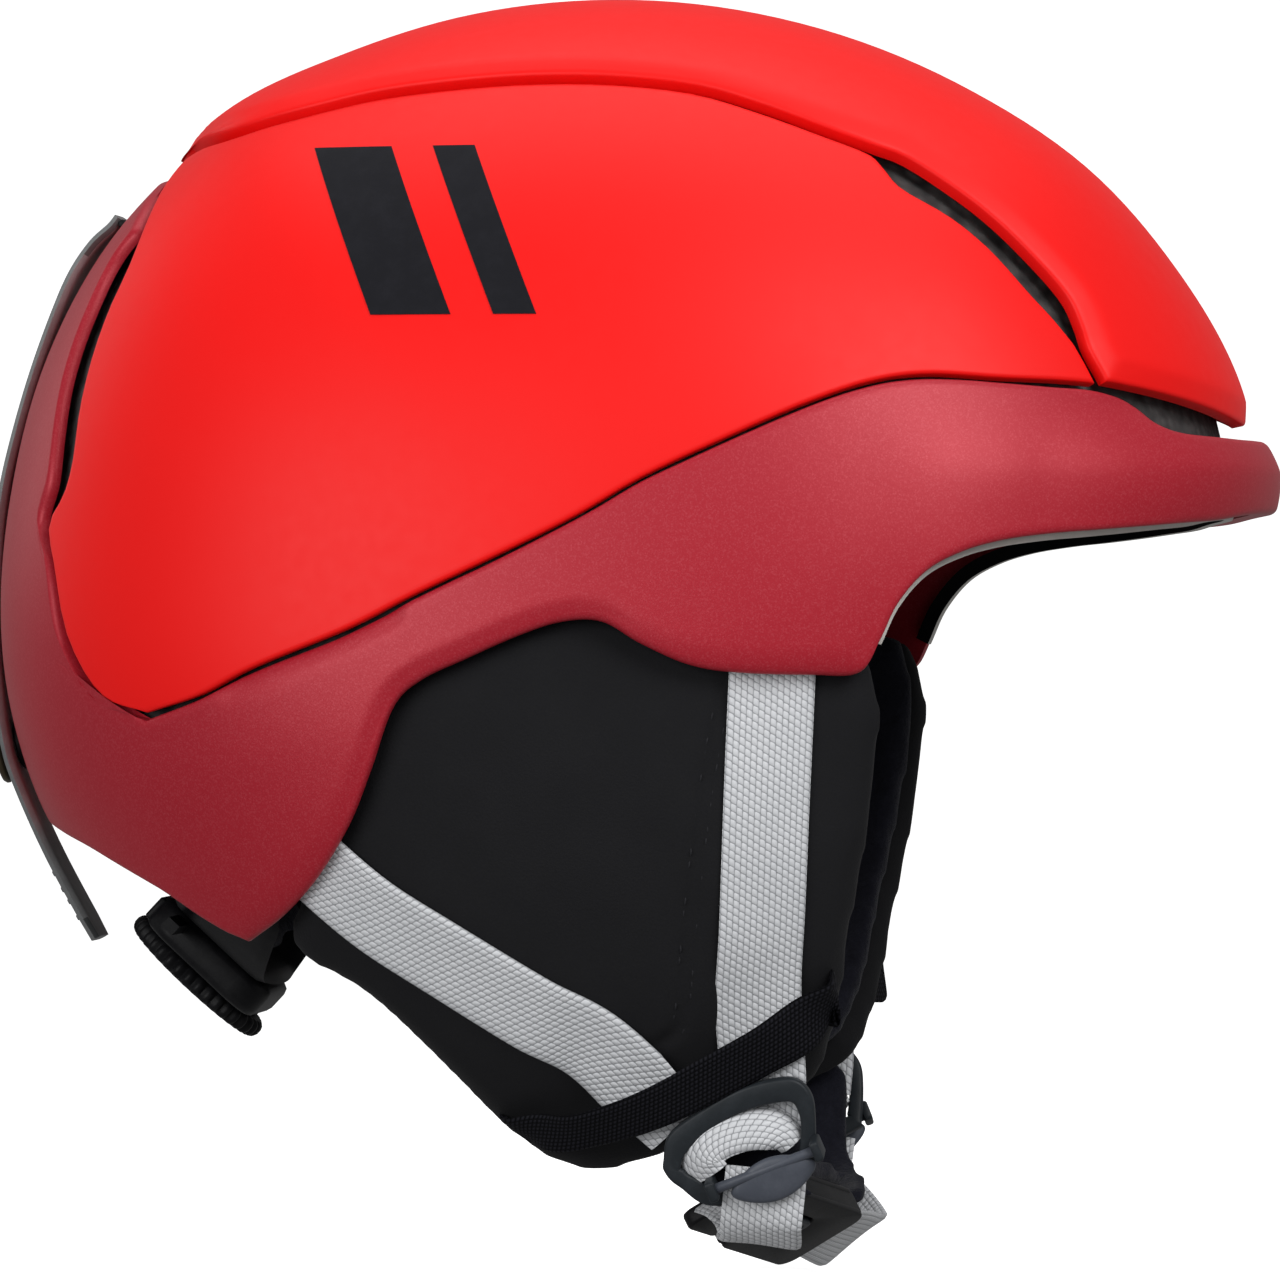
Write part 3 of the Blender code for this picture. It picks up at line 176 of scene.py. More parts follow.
def silhouette_radius(angle):
    """Distance of the side view's outline from the centre, a smooth curve of the angle."""
    angle = (angle - ANGLES[1]) % TURN + ANGLES[1]
    k = np.clip(np.searchsorted(ANGLES, angle, side="right") - 1, 1, len(ANGLES) - 3)
    span = ANGLES[k + 1] - ANGLES[k]
    t = (angle - ANGLES[k]) / span
    rise0 = (RADII[k + 1] - RADII[k - 1]) / (ANGLES[k + 1] - ANGLES[k - 1]) * span
    rise1 = (RADII[k + 2] - RADII[k]) / (ANGLES[k + 2] - ANGLES[k]) * span
    return (RADII[k] * (1 + 2 * t) * (1 - t) ** 2 + rise0 * t * (1 - t) ** 2
            + RADII[k + 1] * t * t * (3 - 2 * t) + rise1 * t * t * (t - 1))


def level(points):
    """1 on the skin, less inside it and more outside."""
    offset = np.atleast_2d(points) - CENTRE
    angle = np.arctan2(offset[:, 2], offset[:, 0])
    along = np.hypot(offset[:, 0], offset[:, 2]) / silhouette_radius(angle)
    across = np.abs(offset[:, 1]) / HALF_WIDTH
    return (along ** FULLNESS + across ** FULLNESS) ** (1 / FULLNESS)


def skin_normals(points):
    points = np.atleast_2d(points)
    gradient = np.zeros_like(points)
    for axis in range(3):
        shift = np.zeros(3)
        shift[axis] = 0.4
        gradient[:, axis] = level(points + shift) - level(points - shift)
    return gradient / np.linalg.norm(gradient, axis=1)[:, None]


def on_skin(directions):
    directions = np.atleast_2d(directions)
    return CENTRE + directions / level(CENTRE + directions)[:, None]


def side(flat):
    """Right-half skin points that a side view shows at the given (x, z) pairs."""
    x, z = np.atleast_2d(flat).T
    angle = np.arctan2(z - CENTRE[2], x - CENTRE[0])
    along = np.hypot(x - CENTRE[0], z - CENTRE[2]) / silhouette_radius(angle)
    across = (1 - np.minimum(along, 1) ** FULLNESS) ** (1 / FULLNESS)
    return np.column_stack([x, -HALF_WIDTH * across, z])


def end_on(y, z, sign):
    """Skin point at this y and z, ahead of the centre or behind it."""
    near, far = 0.0, 200.0
    for _ in range(40):
        middle = (near + far) / 2
        if level(np.array([CENTRE[0] + sign * middle, y, z]))[0] < 1:
            near = middle
        else:
            far = middle
    return np.array([CENTRE[0] + sign * near, y, z])


def rear(y, z):
    return end_on(y, z, -1)


def front(y, z):
    return end_on(y, z, 1)


def mirrored(points):
    return np.asarray(points, float) * (1, -1, 1)


def unit(vectors):
    vectors = np.asarray(vectors, float)
    return vectors / np.linalg.norm(vectors, axis=-1, keepdims=True)


def catmull_rom(a, b, c, d, t):
    return 0.5 * (2 * b + (c - a) * t + (2 * a - 5 * b + 4 * c - d) * t ** 2
                  + (3 * b - a - 3 * c + d) * t ** 3)


def curve(points, ts):
    """Smooth curve through the points, at shares ts of their count."""
    p = np.asarray(points, float)
    last = len(p) - 1
    p = np.vstack([2 * p[0] - p[1], p, 2 * p[-1] - p[-2]])
    place = np.clip(np.asarray(ts) * last, 0, last)
    k = np.minimum(place.astype(int), last - 1)
    return catmull_rom(*(p[k + i] for i in range(4)), (place - k)[:, None])


def lengths(points):
    """How far along the line each of its points lies."""
    return np.concatenate([[0], np.cumsum(np.linalg.norm(np.diff(points, axis=0), axis=1))])


def evenly(points, ts):
    """The same curve at shares ts of its length."""
    fine = curve(points, np.linspace(0, 1, 24 * len(points)))
    reach = lengths(fine)
    target = np.asarray(ts) * reach[-1]
    return np.column_stack([np.interp(target, reach, fine[:, i]) for i in range(3)])


def steps(count):
    return np.linspace(0, 1, count + 1)


def eased(count):
    """Shares from 0 to 1 that crowd towards both ends, to resolve rounded edges."""
    return 0.5 - 0.5 * np.cos(np.linspace(0, math.pi, count + 1))


def between(start, end, ts):
    """Points on the skin from start to end, evenly turned about the centre."""
    a, b = unit(start - CENTRE), unit(end - CENTRE)
    angle = math.acos(max(-1.0, min(1.0, float(a @ b))))
    ts = np.asarray(ts)[:, None]
    return on_skin((a * np.sin((1 - ts) * angle) + b * np.sin(ts * angle)) / math.sin(angle))


def coons(bottom, top, left, right, us, vs):
    """Grid of skin points that fills four edges, which are sampled at us and vs."""
    bottom, top, left, right = (unit(edge - CENTRE) for edge in (bottom, top, left, right))
    u = np.asarray(us)[None, :, None]
    v = np.asarray(vs)[:, None, None]
    ruled = (bottom[None] * (1 - v) + top[None] * v + left[:, None] * (1 - u)
             + right[:, None] * u)
    corners = (bottom[0] * (1 - u) * (1 - v) + bottom[-1] * u * (1 - v)
               + top[0] * (1 - u) * v + top[-1] * u * v)
    grid = ruled - corners
    return on_skin(unit(grid).reshape(-1, 3)).reshape(grid.shape)


def beside(points, amount):
    """The line moved sideways over the skin, to the right of its own direction."""
    along = np.gradient(points, axis=0)
    across = unit(np.cross(along, skin_normals(points)))
    return on_skin(points + across * amount - CENTRE)


def ease(value):
    value = np.clip(value, 0, 1)
    return value * value * (3 - 2 * value)


# ------------------------------------------------------------------------ mesh tools
def welded(grids, mirror=False):
    """Points and quads of some grids, joined where they meet."""
    points, faces, start = [], [], 0
    for grid in list(grids) + ([mirrored(g)[:, ::-1] for g in grids] if mirror else []):
        rows, columns = grid.shape[:2]
        number = np.arange(rows * columns).reshape(rows, columns) + start
        quads = np.stack([number[:-1, :-1], number[:-1, 1:], number[1:, 1:],
                          number[1:, :-1]], -1)
        faces.append(quads.reshape(-1, 4))
        points.append(grid.reshape(-1, 3))
        start += rows * columns
    points, faces = np.vstack(points), np.vstack(faces)
    _, first, same = np.unique(np.round(points / 0.02), axis=0, return_index=True,
                               return_inverse=True)
    faces = same.reshape(-1)[faces]
    kept = []
    for loop in faces.tolist():
        short = [v for i, v in enumerate(loop) if v != loop[i - 1]]
        if len(set(short)) > 2:
            kept.append(short)
    return points[first], kept


def rim_edges(faces):
    seen = {}
    for loop in faces:
        for a, b in zip(loop, loop[1:] + loop[:1]):
            seen[(a, b)] = True
    return [(a, b) for a, b in seen if (b, a) not in seen]


def kd_tree(points):
    tree = KDTree(len(points))
    for k, point in enumerate(points):
        tree.insert(point, k)
    tree.balance()
    return tree


def rim_distance(points, faces, wanted=None):
    """Distance of each point to the sheet's rim, or to the wanted part of it."""
    rim = sorted({v for edge in rim_edges(faces) for v in edge})
    tree = kd_tree([points[v] for v in rim if wanted is None or wanted(points[v])])
    return np.array([tree.find(p)[2] for p in points])


def bulged(distance, radius):
    """Share of the full thickness near a rounded rim: 0 at the rim, 1 past the radius."""
    return np.sqrt(np.clip(1 - (1 - np.clip(distance / radius, 0, 1)) ** 2, 0, 1))


def rolled(distance, radius, drop):
    """How far a face falls away near its rim, as a quarter round."""
    share = 1 - np.clip(distance / radius, 0, 1)
    return -drop * (1 - np.sqrt(1 - share ** 2))


def thick(points, faces, outer, inner):
    """Closed mesh between two lifts off the skin."""
    normals = skin_normals(points)
    count = len(points)
    verts = np.vstack([points + normals * np.reshape(outer, (-1, 1)),
                       points + normals * np.reshape(inner, (-1, 1))])
    solid = list(faces) + [[v + count for v in reversed(loop)] for loop in faces]
    solid += [[b, a, a + count, b + count] for a, b in rim_edges(faces)]
    return verts, solid


def make(name, verts, faces, material, body, replaces=(), slot=None, sharp=40, uv=None):
    mesh = bpy.data.meshes.new(name)
    mesh.from_pydata((np.asarray(verts) * MM).tolist(), [], [list(f) for f in faces])
    mesh.validate()
    if uv is not None:
        layer = mesh.uv_layers.new(name="weave")
        index = np.zeros(len(mesh.loops), int)
        mesh.loops.foreach_get("vertex_index", index)
        layer.data.foreach_set("uv", np.asarray(uv)[index].astype(np.float32).ravel())
    mesh.shade_smooth()
    made = bpy.data.objects.new(name, mesh)
    bpy.context.scene.collection.objects.link(made)
    mesh.materials.append(material)
    consistent(mesh)
    mesh.set_sharp_from_angle(angle=math.radians(sharp))
    return settle(made, body, replaces)


def look(node, shape, material, slot, body="helmet", sharp=50, uv=None):
    """The piece that replaces one CAD node."""
    return make("look_" + node, *shape, material, body, [node], slot, sharp, uv)


def consistent(mesh):
    work = bmesh.new()
    work.from_mesh(mesh)
    bmesh.ops.recalc_face_normals(work, faces=work.faces)
    work.to_mesh(mesh)
    work.free()


def settle(made, body, replaces=()):
    if body:
        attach(made, body)
    if replaces:
        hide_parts(*replaces)
    return made


def both(name, verts, faces, material, body="helmet", slot=None, uv=None, replaces=True, **more):
    """The right piece and its mirror image on the left."""
    for hand, sign in (("right", 1), ("left", -1)):
        loops = faces if sign > 0 else [list(reversed(f)) for f in faces]
        own = body if isinstance(body, str) else body[hand]
        stands = (name + "_" + hand,) if replaces else ()
        make("look_" + name + "_" + hand, np.asarray(verts) * (1, sign, 1), loops, material,
             own, stands, slot, uv=uv, **more)


def tube_faces(rings, count, joined=False):
    """Quads between rings of count points, with end caps unless the tube is joined up."""
    faces = []
    for i in range(rings - 1 + joined):
        a, b = i * count, (i + 1) % rings * count
        faces += [[a + k, a + (k + 1) % count, b + (k + 1) % count, b + k]
                  for k in range(count)]
    if not joined:
        faces.append(list(range(count))[::-1])
        faces.append([(rings - 1) * count + k for k in range(count)])
    return faces


def ribbon(centres, normals, width, thickness, across=8, dome=0.0):
    """Flat band with rounded selvedges. Also gives each vertex's place on it, in mm."""
    centres = np.asarray(centres, float)
    along = unit(np.gradient(centres, axis=0))
    out = np.asarray(normals, float)
    out = unit(out - along * np.sum(out * along, axis=1)[:, None])
    sideways = np.cross(along, out)
    reach = lengths(centres)
    width = np.broadcast_to(width, len(centres))
    s = np.linspace(-1, 1, across + 1)
    share = np.concatenate([s, s[-2:0:-1]])
    height = np.sqrt(np.maximum(0, 1 - np.abs(share) ** 8)) * 0.5
    height[across + 1:] *= -1
    height += dome * (1 - share ** 2)
    verts, uv = [], []
    for i, centre in enumerate(centres):
        offset = share * width[i] / 2
        verts.append(centre + np.outer(offset, sideways[i]) + np.outer(height * thickness, out[i]))
        uv.append(np.column_stack([np.full(len(share), reach[i]), offset]))
    return np.vstack(verts), tube_faces(len(centres), len(share)), np.vstack(uv)


def frame_at(origin, first, third):
    """Frame with its third axis as given, and its first as near to first as that allows."""
    third = Vector(third).normalized()
    second = third.cross(Vector(first)).normalized()
    first = second.cross(third).normalized()
    return Matrix.Translation(Vector(origin)) @ Matrix((first, second, third)).transposed().to_4x4()


def placed(place, points):
    return np.array([place @ Vector(p) for p in points])


def closed_curve(outline, count):
    """Smooth closed outline through the given corners."""
    p = np.asarray(outline, float)
    place = np.arange(count) / count * len(p)
    k = place.astype(int)
    return catmull_rom(*(p[(k + i - 1) % len(p)] for i in range(4)), (place - k)[:, None])


def circle(count):
    angles = np.arange(count) / count * TURN
    return np.column_stack([np.cos(angles), np.sin(angles)])


def rounded_rectangle(a0, a1, b0, b1, radius, count=6):
    points = []
    for (a, b), begin in (((a1 - radius, b1 - radius), 0), ((a0 + radius, b1 - radius), 90),
                          ((a0 + radius, b0 + radius), 180), ((a1 - radius, b0 + radius), 270)):
        for k in range(count + 1):
            angle = math.radians(begin + 90 * k / count)
            points.append((a + radius * math.cos(angle), b + radius * math.sin(angle)))
    return points


def stack(outlines, heights, place):
    """Solid through a stack of outlines that have the same number of points."""
    verts = np.vstack([placed(place, [(a, b, height) for a, b in outline])
                       for outline, height in zip(outlines, heights)])
    return verts, tube_faces(len(outlines), len(outlines[0]))


def turned(profile, place, count):
    """Solid of revolution about the frame's third axis, from radii and heights."""
    ring = circle(count)
    return stack([ring * radius for radius, _ in profile], [h for _, h in profile], place)


def scaled(outline, amount):
    """Outline pulled in by a length, by scaling about its middle."""
    p = np.asarray(outline, float)
    middle = p.mean(0)
    reach = np.linalg.norm(p - middle, axis=1, keepdims=True)
    return middle + (p - middle) * (1 - amount / reach)


def pillow_cap(outline, low, high, place, edge=0.8):
    """Prism with both rims rounded."""
    ring = [scaled(outline, edge), scaled(outline, edge * 0.3), outline, outline,
            scaled(outline, edge * 0.3), scaled(outline, edge)]
    rise = [low, low + edge * 0.3, low + edge, high - edge, high - edge * 0.3, high]
    return stack(ring, rise, place)


def merged(parts):
    """Several closed meshes as one list of points and faces."""
    verts, faces, start = [], [], 0
    for points, loops in parts:
        verts.append(np.asarray(points))
        faces += [[v + start for v in loop] for loop in loops]
        start += len(points)
    return np.vstack(verts), faces


# ------------------------------------------------------------------------- materials
class Paint:
    """A procedural material: nodes that feed one Principled shader, in millimetres."""

    def __init__(self, name, colour, roughness, metallic=0.0, **sockets):
        self.material = bpy.data.materials.new(name)
        self.material.use_nodes = True
        self.tree = self.material.node_tree
        self.shader = self.tree.nodes["Principled BSDF"]
        self.shader.inputs["Base Color"].default_value = (*colour, 1)
        self.shader.inputs["Roughness"].default_value = roughness
        self.shader.inputs["Metallic"].default_value = metallic
        for socket, value in sockets.items():
            self.shader.inputs[socket.replace("_", " ")].default_value = value
        self.normal = None

    def node(self, kind, inputs=(), **settings):
        made = self.tree.nodes.new(kind)
        for setting, value in settings.items():
            setattr(made, setting, value)
        for socket, value in dict(inputs).items():
            if isinstance(value, bpy.types.NodeSocket):
                self.tree.links.new(value, made.inputs[socket])
            else:
                made.inputs[socket].default_value = value
        return made

    def coordinates(self, scale=(1000, 1000, 1000)):
        source = self.node("ShaderNodeTexCoord").outputs["Object"]
        return self.node("ShaderNodeMapping", {"Vector": source, "Scale": scale}).outputs[0]

    def noise(self, size, detail=2.0, rough=0.5, at=None):
        """Noise whose blobs are about size millimetres across."""
        at = at or self.coordinates()
        return self.node("ShaderNodeTexNoise", {"Vector": at, "Scale": 1 / size, "Detail": detail,
                                                "Roughness": rough}).outputs["Fac"]

    def cells(self, size, output="Distance", at=None, feature="F1"):
        at = at or self.coordinates()
        return self.node("ShaderNodeTexVoronoi", {"Vector": at, "Scale": 1 / size},
                         feature=feature).outputs[output]

    def math(self, operation, a, b=0.0):
        return self.node("ShaderNodeMath", {0: a, 1: b}, operation=operation).outputs[0]

    def span(self, value, low, high, start=0.0, end=1.0):
        """value between start and end, remapped to low and high."""
        return self.node("ShaderNodeMapRange", {"Value": value, "From Min": start, "From Max": end,
                                                "To Min": low, "To Max": high}).outputs[0]

    def tint(self, share, first, second):
        first, second = (end if isinstance(end, bpy.types.NodeSocket) else (*end, 1)
                         for end in (first, second))
        return self.node("ShaderNodeMix", {"Factor": share, 6: first, 7: second},
                         data_type="RGBA").outputs[2]

    def use(self, socket, value):
        self.tree.links.new(value, self.shader.inputs[socket])

    def colours(self, share, first, second):
        self.use("Base Color", self.tint(share, first, second))

    def roughness(self, share, low, high):
        self.use("Roughness", self.span(share, low, high))

    def bump(self, height, depth):
        """Relief of a height from 0 to 1, depth millimetres deep."""
        made = self.node("ShaderNodeBump", {"Height": height, "Strength": 1.0,
                                            "Distance": depth * MM})
        if self.normal:
            self.tree.links.new(self.normal, made.inputs["Normal"])
        self.normal = made.outputs[0]
        self.use("Normal", self.normal)

    def weave(self, pick, rib):
        """Staggered raised stitches: 1 on top of a stitch, 0 between stitches."""
        uv = self.node("ShaderNodeUVMap", uv_map="weave").outputs[0]
        split = self.node("ShaderNodeSeparateXYZ", {0: uv})
        row = self.math("DIVIDE", split.outputs["Y"], rib)
        column = self.math("FLOOR", row)
        stagger = self.math("MULTIPLY", column, 0.5)
        line = self.math("ADD", self.math("DIVIDE", split.outputs["X"], pick), stagger)
        slant = self.math("ADD", line, self.math("MULTIPLY", self.math("FRACT", row), 0.35))
        along = self.math("SINE", self.math("MULTIPLY", self.math("FRACT", slant), math.pi))
        across = self.math("SINE", self.math("MULTIPLY", self.math("FRACT", row), math.pi))
        return self.math("MULTIPLY", self.math("POWER", along, 0.7),
                         self.math("POWER", across, 0.6))


def red_paint():
    paint = Paint("matte_red_paint", (0.92, 0.006, 0.004), 0.46, Specular_IOR_Level=0.26)
    broad = paint.noise(60.0, 2.0)
    paint.colours(broad, (0.90, 0.0025, 0.002), (0.95, 0.004, 0.0025))
    fine = paint.noise(0.5, 3.0, 0.6)
    paint.roughness(paint.noise(3.0, 3.0), 0.42, 0.52)
    paint.bump(paint.noise(2.2, 2.0), 0.012)
    paint.bump(fine, 0.008)
    return paint.material


def raspberry_paint():
    paint = Paint("pearl_raspberry_paint", (0.33, 0.016, 0.030), 0.42, 0.15,
                  Specular_IOR_Level=0.3, Coat_Weight=0.06, Coat_Roughness=0.35)
    # Random pearl flakes, painted lighter pink: the flakes are real, their pink brightness is a
    # painted glint.
    flake_glint = paint.span(paint.cells(0.30, "Color"), 0.0, 0.5, 0.5, 1.0)
    broad = paint.noise(45.0, 2.0)
    base = paint.tint(broad, (0.395, 0.011, 0.024), (0.44, 0.014, 0.029))
    paint.colours(flake_glint, base, (0.52, 0.06, 0.08))
    paint.roughness(paint.noise(0.6, 2.0), 0.36, 0.50)
    paint.bump(paint.cells(0.42), 0.010)
    paint.bump(paint.noise(2.5, 2.0), 0.010)
    return paint.material


def foam():
    paint = Paint("foam_beads", (0.02, 0.02, 0.021), 0.8)
    beads = paint.cells(2.6, feature="SMOOTH_F1")
    # Bead middles lighter, gaps between raised beads darker: partly the foam's own mottle, partly
    # painted shade in those recesses.
    edge = paint.span(beads, 0.0, 1.0, 0.25, 0.75)
    paint.colours(edge, (0.070, 0.069, 0.068), (0.014, 0.014, 0.015))
    paint.roughness(paint.noise(1.2, 2.0), 0.65, 0.95)
    paint.bump(paint.math("SUBTRACT", 1.0, beads), 0.5)
    paint.bump(paint.noise(0.5, 3.0), 0.06)
    return paint.material


def cloth(name, colour, light, weave_size, depth, sheen, roughness=0.9):
    """Brushed knit: fine crossed ribs under a soft nap."""
    paint = Paint(name, colour, roughness, Sheen_Weight=sheen, Sheen_Roughness=0.45,
                  Specular_IOR_Level=0.14)
    at = paint.coordinates((1000 / weave_size, 1000 / weave_size, 1000 / weave_size))
    knit = paint.cells(1.0, at=at)
    nap = paint.noise(weave_size * 0.6, 4.0, 0.7)
    broad = paint.noise(14.0, 3.0)
    share = paint.math("MULTIPLY", nap, paint.span(broad, 0.5, 1.2))
    paint.colours(share, colour, light)
    paint.roughness(nap, roughness - 0.12, min(1.0, roughness + 0.08))
    paint.bump(paint.math("SUBTRACT", 1.0, knit), depth)
    paint.bump(nap, depth * 0.8)
    return paint.material


def fleece():
    paint = Paint("fleece_pile", (0.010, 0.010, 0.016), 0.95, Sheen_Weight=0.10,
                  Sheen_Roughness=0.5, Specular_IOR_Level=0.12)
    pile = paint.noise(0.9, 5.0, 0.75)
    clumps = paint.noise(3.5, 3.0, 0.6)
    paint.colours(paint.math("MULTIPLY", pile, clumps), (0.005, 0.005, 0.009),
                  (0.030, 0.031, 0.046))
    paint.bump(clumps, 0.5)
    paint.bump(pile, 0.35)
    return paint.material


def webbing():
    paint = Paint("silver_webbing", (0.56, 0.575, 0.60), 0.42, Specular_IOR_Level=0.45,
                  Sheen_Weight=0.06, Sheen_Roughness=0.4)
    stitch = paint.weave(1.62, 1.26)
    fibre = paint.noise(0.35, 3.0, 0.7)
    uneven = paint.noise(9.0, 2.0)
    light = paint.tint(uneven, (0.64, 0.655, 0.68), (0.74, 0.75, 0.775))
    # The dark grey between stitches is painted shade in the weave's recesses; the stitch tops carry
    # the yarn's own colour.
    paint.colours(paint.span(stitch, 0.0, 1.0, 0.08, 0.42), (0.29, 0.30, 0.32), light)
    paint.roughness(fibre, 0.32, 0.55)
    paint.bump(stitch, 0.20)
    paint.bump(fibre, 0.03)
    return paint.material


def elastic():
    paint = Paint("keeper_elastic", (0.016, 0.016, 0.022), 0.85, Specular_IOR_Level=0.08)
    stitch = paint.weave(1.05, 0.95)
    # Near-black between stitches is painted shade in the weave's recesses; the stitch tops carry the
    # elastic's own colour.
    paint.colours(paint.span(stitch, 0.0, 1.0, 0.35, 1.0), (0.003, 0.003, 0.004),
                  (0.016, 0.016, 0.021))
    paint.roughness(paint.noise(0.5, 2.0), 0.6, 0.85)
    paint.bump(stitch, 0.30)
    return paint.material


def moulded(name, colour, light, roughness, depth=0.02, **sockets):
    """Moulded plastic or rubber with a spark-eroded texture and slight scuffs."""
    paint = Paint(name, colour, roughness, **sockets)
    grain = paint.noise(0.45, 3.0, 0.6)
    scuff = paint.span(paint.noise(5.0, 5.0, 0.75), 0.0, 1.0, 0.45, 0.75)
    paint.colours(scuff, colour, light)
    paint.roughness(grain, roughness - 0.07, roughness + 0.1)
    paint.bump(grain, depth)
    return paint.material


def brushed(name, colour, light, roughness):
    paint = Paint(name, colour, roughness, 0.85)
    lines = paint.noise(0.8, 4.0, 0.7, at=paint.coordinates((1000, 9000, 1000)))
    paint.colours(lines, colour, light)
    paint.roughness(lines, roughness - 0.08, roughness + 0.12)
    paint.bump(lines, 0.01)
    return paint.material


def thread():
    paint = Paint("sewing_thread", (0.014, 0.014, 0.016), 0.7, Specular_IOR_Level=0.2)
    twist = paint.noise(0.3, 2.0)
    paint.colours(twist, (0.009, 0.009, 0.011), (0.030, 0.030, 0.034))
    paint.bump(twist, 0.05)
    return paint.material


RED = red_paint()
RASPBERRY = raspberry_paint()
FOAM = foam()
SOFTSHELL = cloth("softshell_knit", (0.0065, 0.0065, 0.0075), (0.018, 0.018, 0.020), 0.55, 0.05,
                  0.03)
COMFORT = cloth("comfort_mesh", (0.008, 0.008, 0.010), (0.028, 0.028, 0.032), 1.3, 0.18, 0.08)
FLEECE = fleece()
WEBBING = webbing()
ELASTIC = elastic()
SLATE = moulded("slate_nylon", (0.017, 0.021, 0.025), (0.027, 0.032, 0.038), 0.46,
                Specular_IOR_Level=0.26)
LEVER_SLATE = moulded("lever_nylon", (0.066, 0.074, 0.094), (0.088, 0.097, 0.120), 0.42,
                      Specular_IOR_Level=0.35)
BLACK = moulded("black_nylon", (0.005, 0.005, 0.006), (0.011, 0.011, 0.012), 0.45,
                Specular_IOR_Level=0.14)
MARK = moulded("black_paint", (0.010, 0.010, 0.013), (0.014, 0.014, 0.018), 0.55, 0.006,
               Specular_IOR_Level=0.1)
TRIM = moulded("trim_rubber_grey", (0.62, 0.60, 0.56), (0.70, 0.68, 0.64), 0.55)
BAND_EDGE = moulded("retainer_grey", (0.145, 0.150, 0.152), (0.18, 0.185, 0.187), 0.42)
BAND_FACE = moulded("retainer_pale", (0.40, 0.405, 0.41), (0.50, 0.505, 0.51), 0.5)
BRONZE = brushed("snap_bronze", (0.050, 0.038, 0.024), (0.11, 0.085, 0.05), 0.35)
STEEL = brushed("rivet_steel", (0.35, 0.35, 0.36), (0.6, 0.6, 0.61), 0.3)
THREAD = thread()


# ---------------------------------------------------------------------------- shells
SHELL_SHARP = 60
FACET_WIDE, FACET_DROP = 4.4, 1.35
LINER_GROOVES, GROOVE_DEPTH = 8, 2.2


def crown_shell():
    """Raised centre panel: a flat facet runs round it, above its lip."""
    ts = eased(96)
    edge = curve(side(CROWN_EDGE), ts)
    line = [rear(0, -1.2)]
    for angle in (129, 112, 96, 80, 65, 51, 38):
        heading = np.array([math.cos(math.radians(angle)), 0, math.sin(math.radians(angle))])
        line.append(on_skin(heading)[0])
    line.append(front(0, CROWN_FRONT_Z))
    centre = evenly(line, ts)
    e, c = unit(edge - CENTRE), unit(centre - CENTRE)
    s = np.sin(np.linspace(-1, 1, 49) * math.pi / 2)[None, :, None]
    blend = (e[:, None] * ((s * s - s) / 2) + c[:, None] * (1 - s * s)
             + mirrored(e)[:, None] * ((s * s + s) / 2))
    points, faces = welded([on_skin(unit(blend).reshape(-1, 3)).reshape(blend.shape)])
    distance = rim_distance(points, faces)
    facet = np.clip(1 - distance / FACET_WIDE, 0, 1)
    outer = CROWN_PROUD - FACET_DROP * facet - 0.12 * (1 - ease((distance - 3.4) / 2.4))
    outer += rolled(distance, 0.7, 0.6)
    look("crown_shell", thick(points, faces, outer, CROWN_PROUD - CROWN_WALL), RED, "red_shell",
         sharp=SHELL_SHARP)


def side_shells():
    """Large side panels with softly rolled edges."""
    us, vs = eased(84), eased(44)
    seam = beside(side(SIDE_SEAM), 0.45)
    seam[0], seam[-1] = side([SIDE_SEAM[0]])[0], side([SIDE_SEAM[-1]])[0]
    bottom, top = curve(seam, us), curve(side(SIDE_TOP), us)
    left = curve(side(SIDE_REAR), vs)
    right = between(bottom[-1], top[-1], vs)
    points, faces = welded([coons(bottom, top, left, right, us, vs)])
    outer = rolled(rim_distance(points, faces), 1.0, 0.75)
    both("side_shell", *thick(points, faces, outer, -SHELL), RED, slot="red_shell",
         sharp=SHELL_SHARP)


CREASE_DEPTH = 0.56


def brim_lift(points):
    """Lift of the front band off the skin: it swells to a soft crease along its middle."""
    toward = ease((points[:, 0] - 88.0) / 40.0)
    depth = np.clip((-55.0 - points[:, 2]) / 24.0, 0, 1)
    bulge = np.sin(math.pi * (0.04 + 0.72 * depth))
    tent = np.minimum(depth / CREASE_DEPTH, 1 - 0.5 * (depth - CREASE_DEPTH))
    crease = ease((points[:, 0] - 54.0) / 22.0) * ease((-50.0 - points[:, 2]) / 8.0)
    return BRIM_REACH * toward * (0.6 * bulge + 0.4 * tent) + 1.0 * crease * (1 - toward) * tent


ALONG_STEPS, BAND_STEPS, SPINE_STEPS = 210, 22, 50


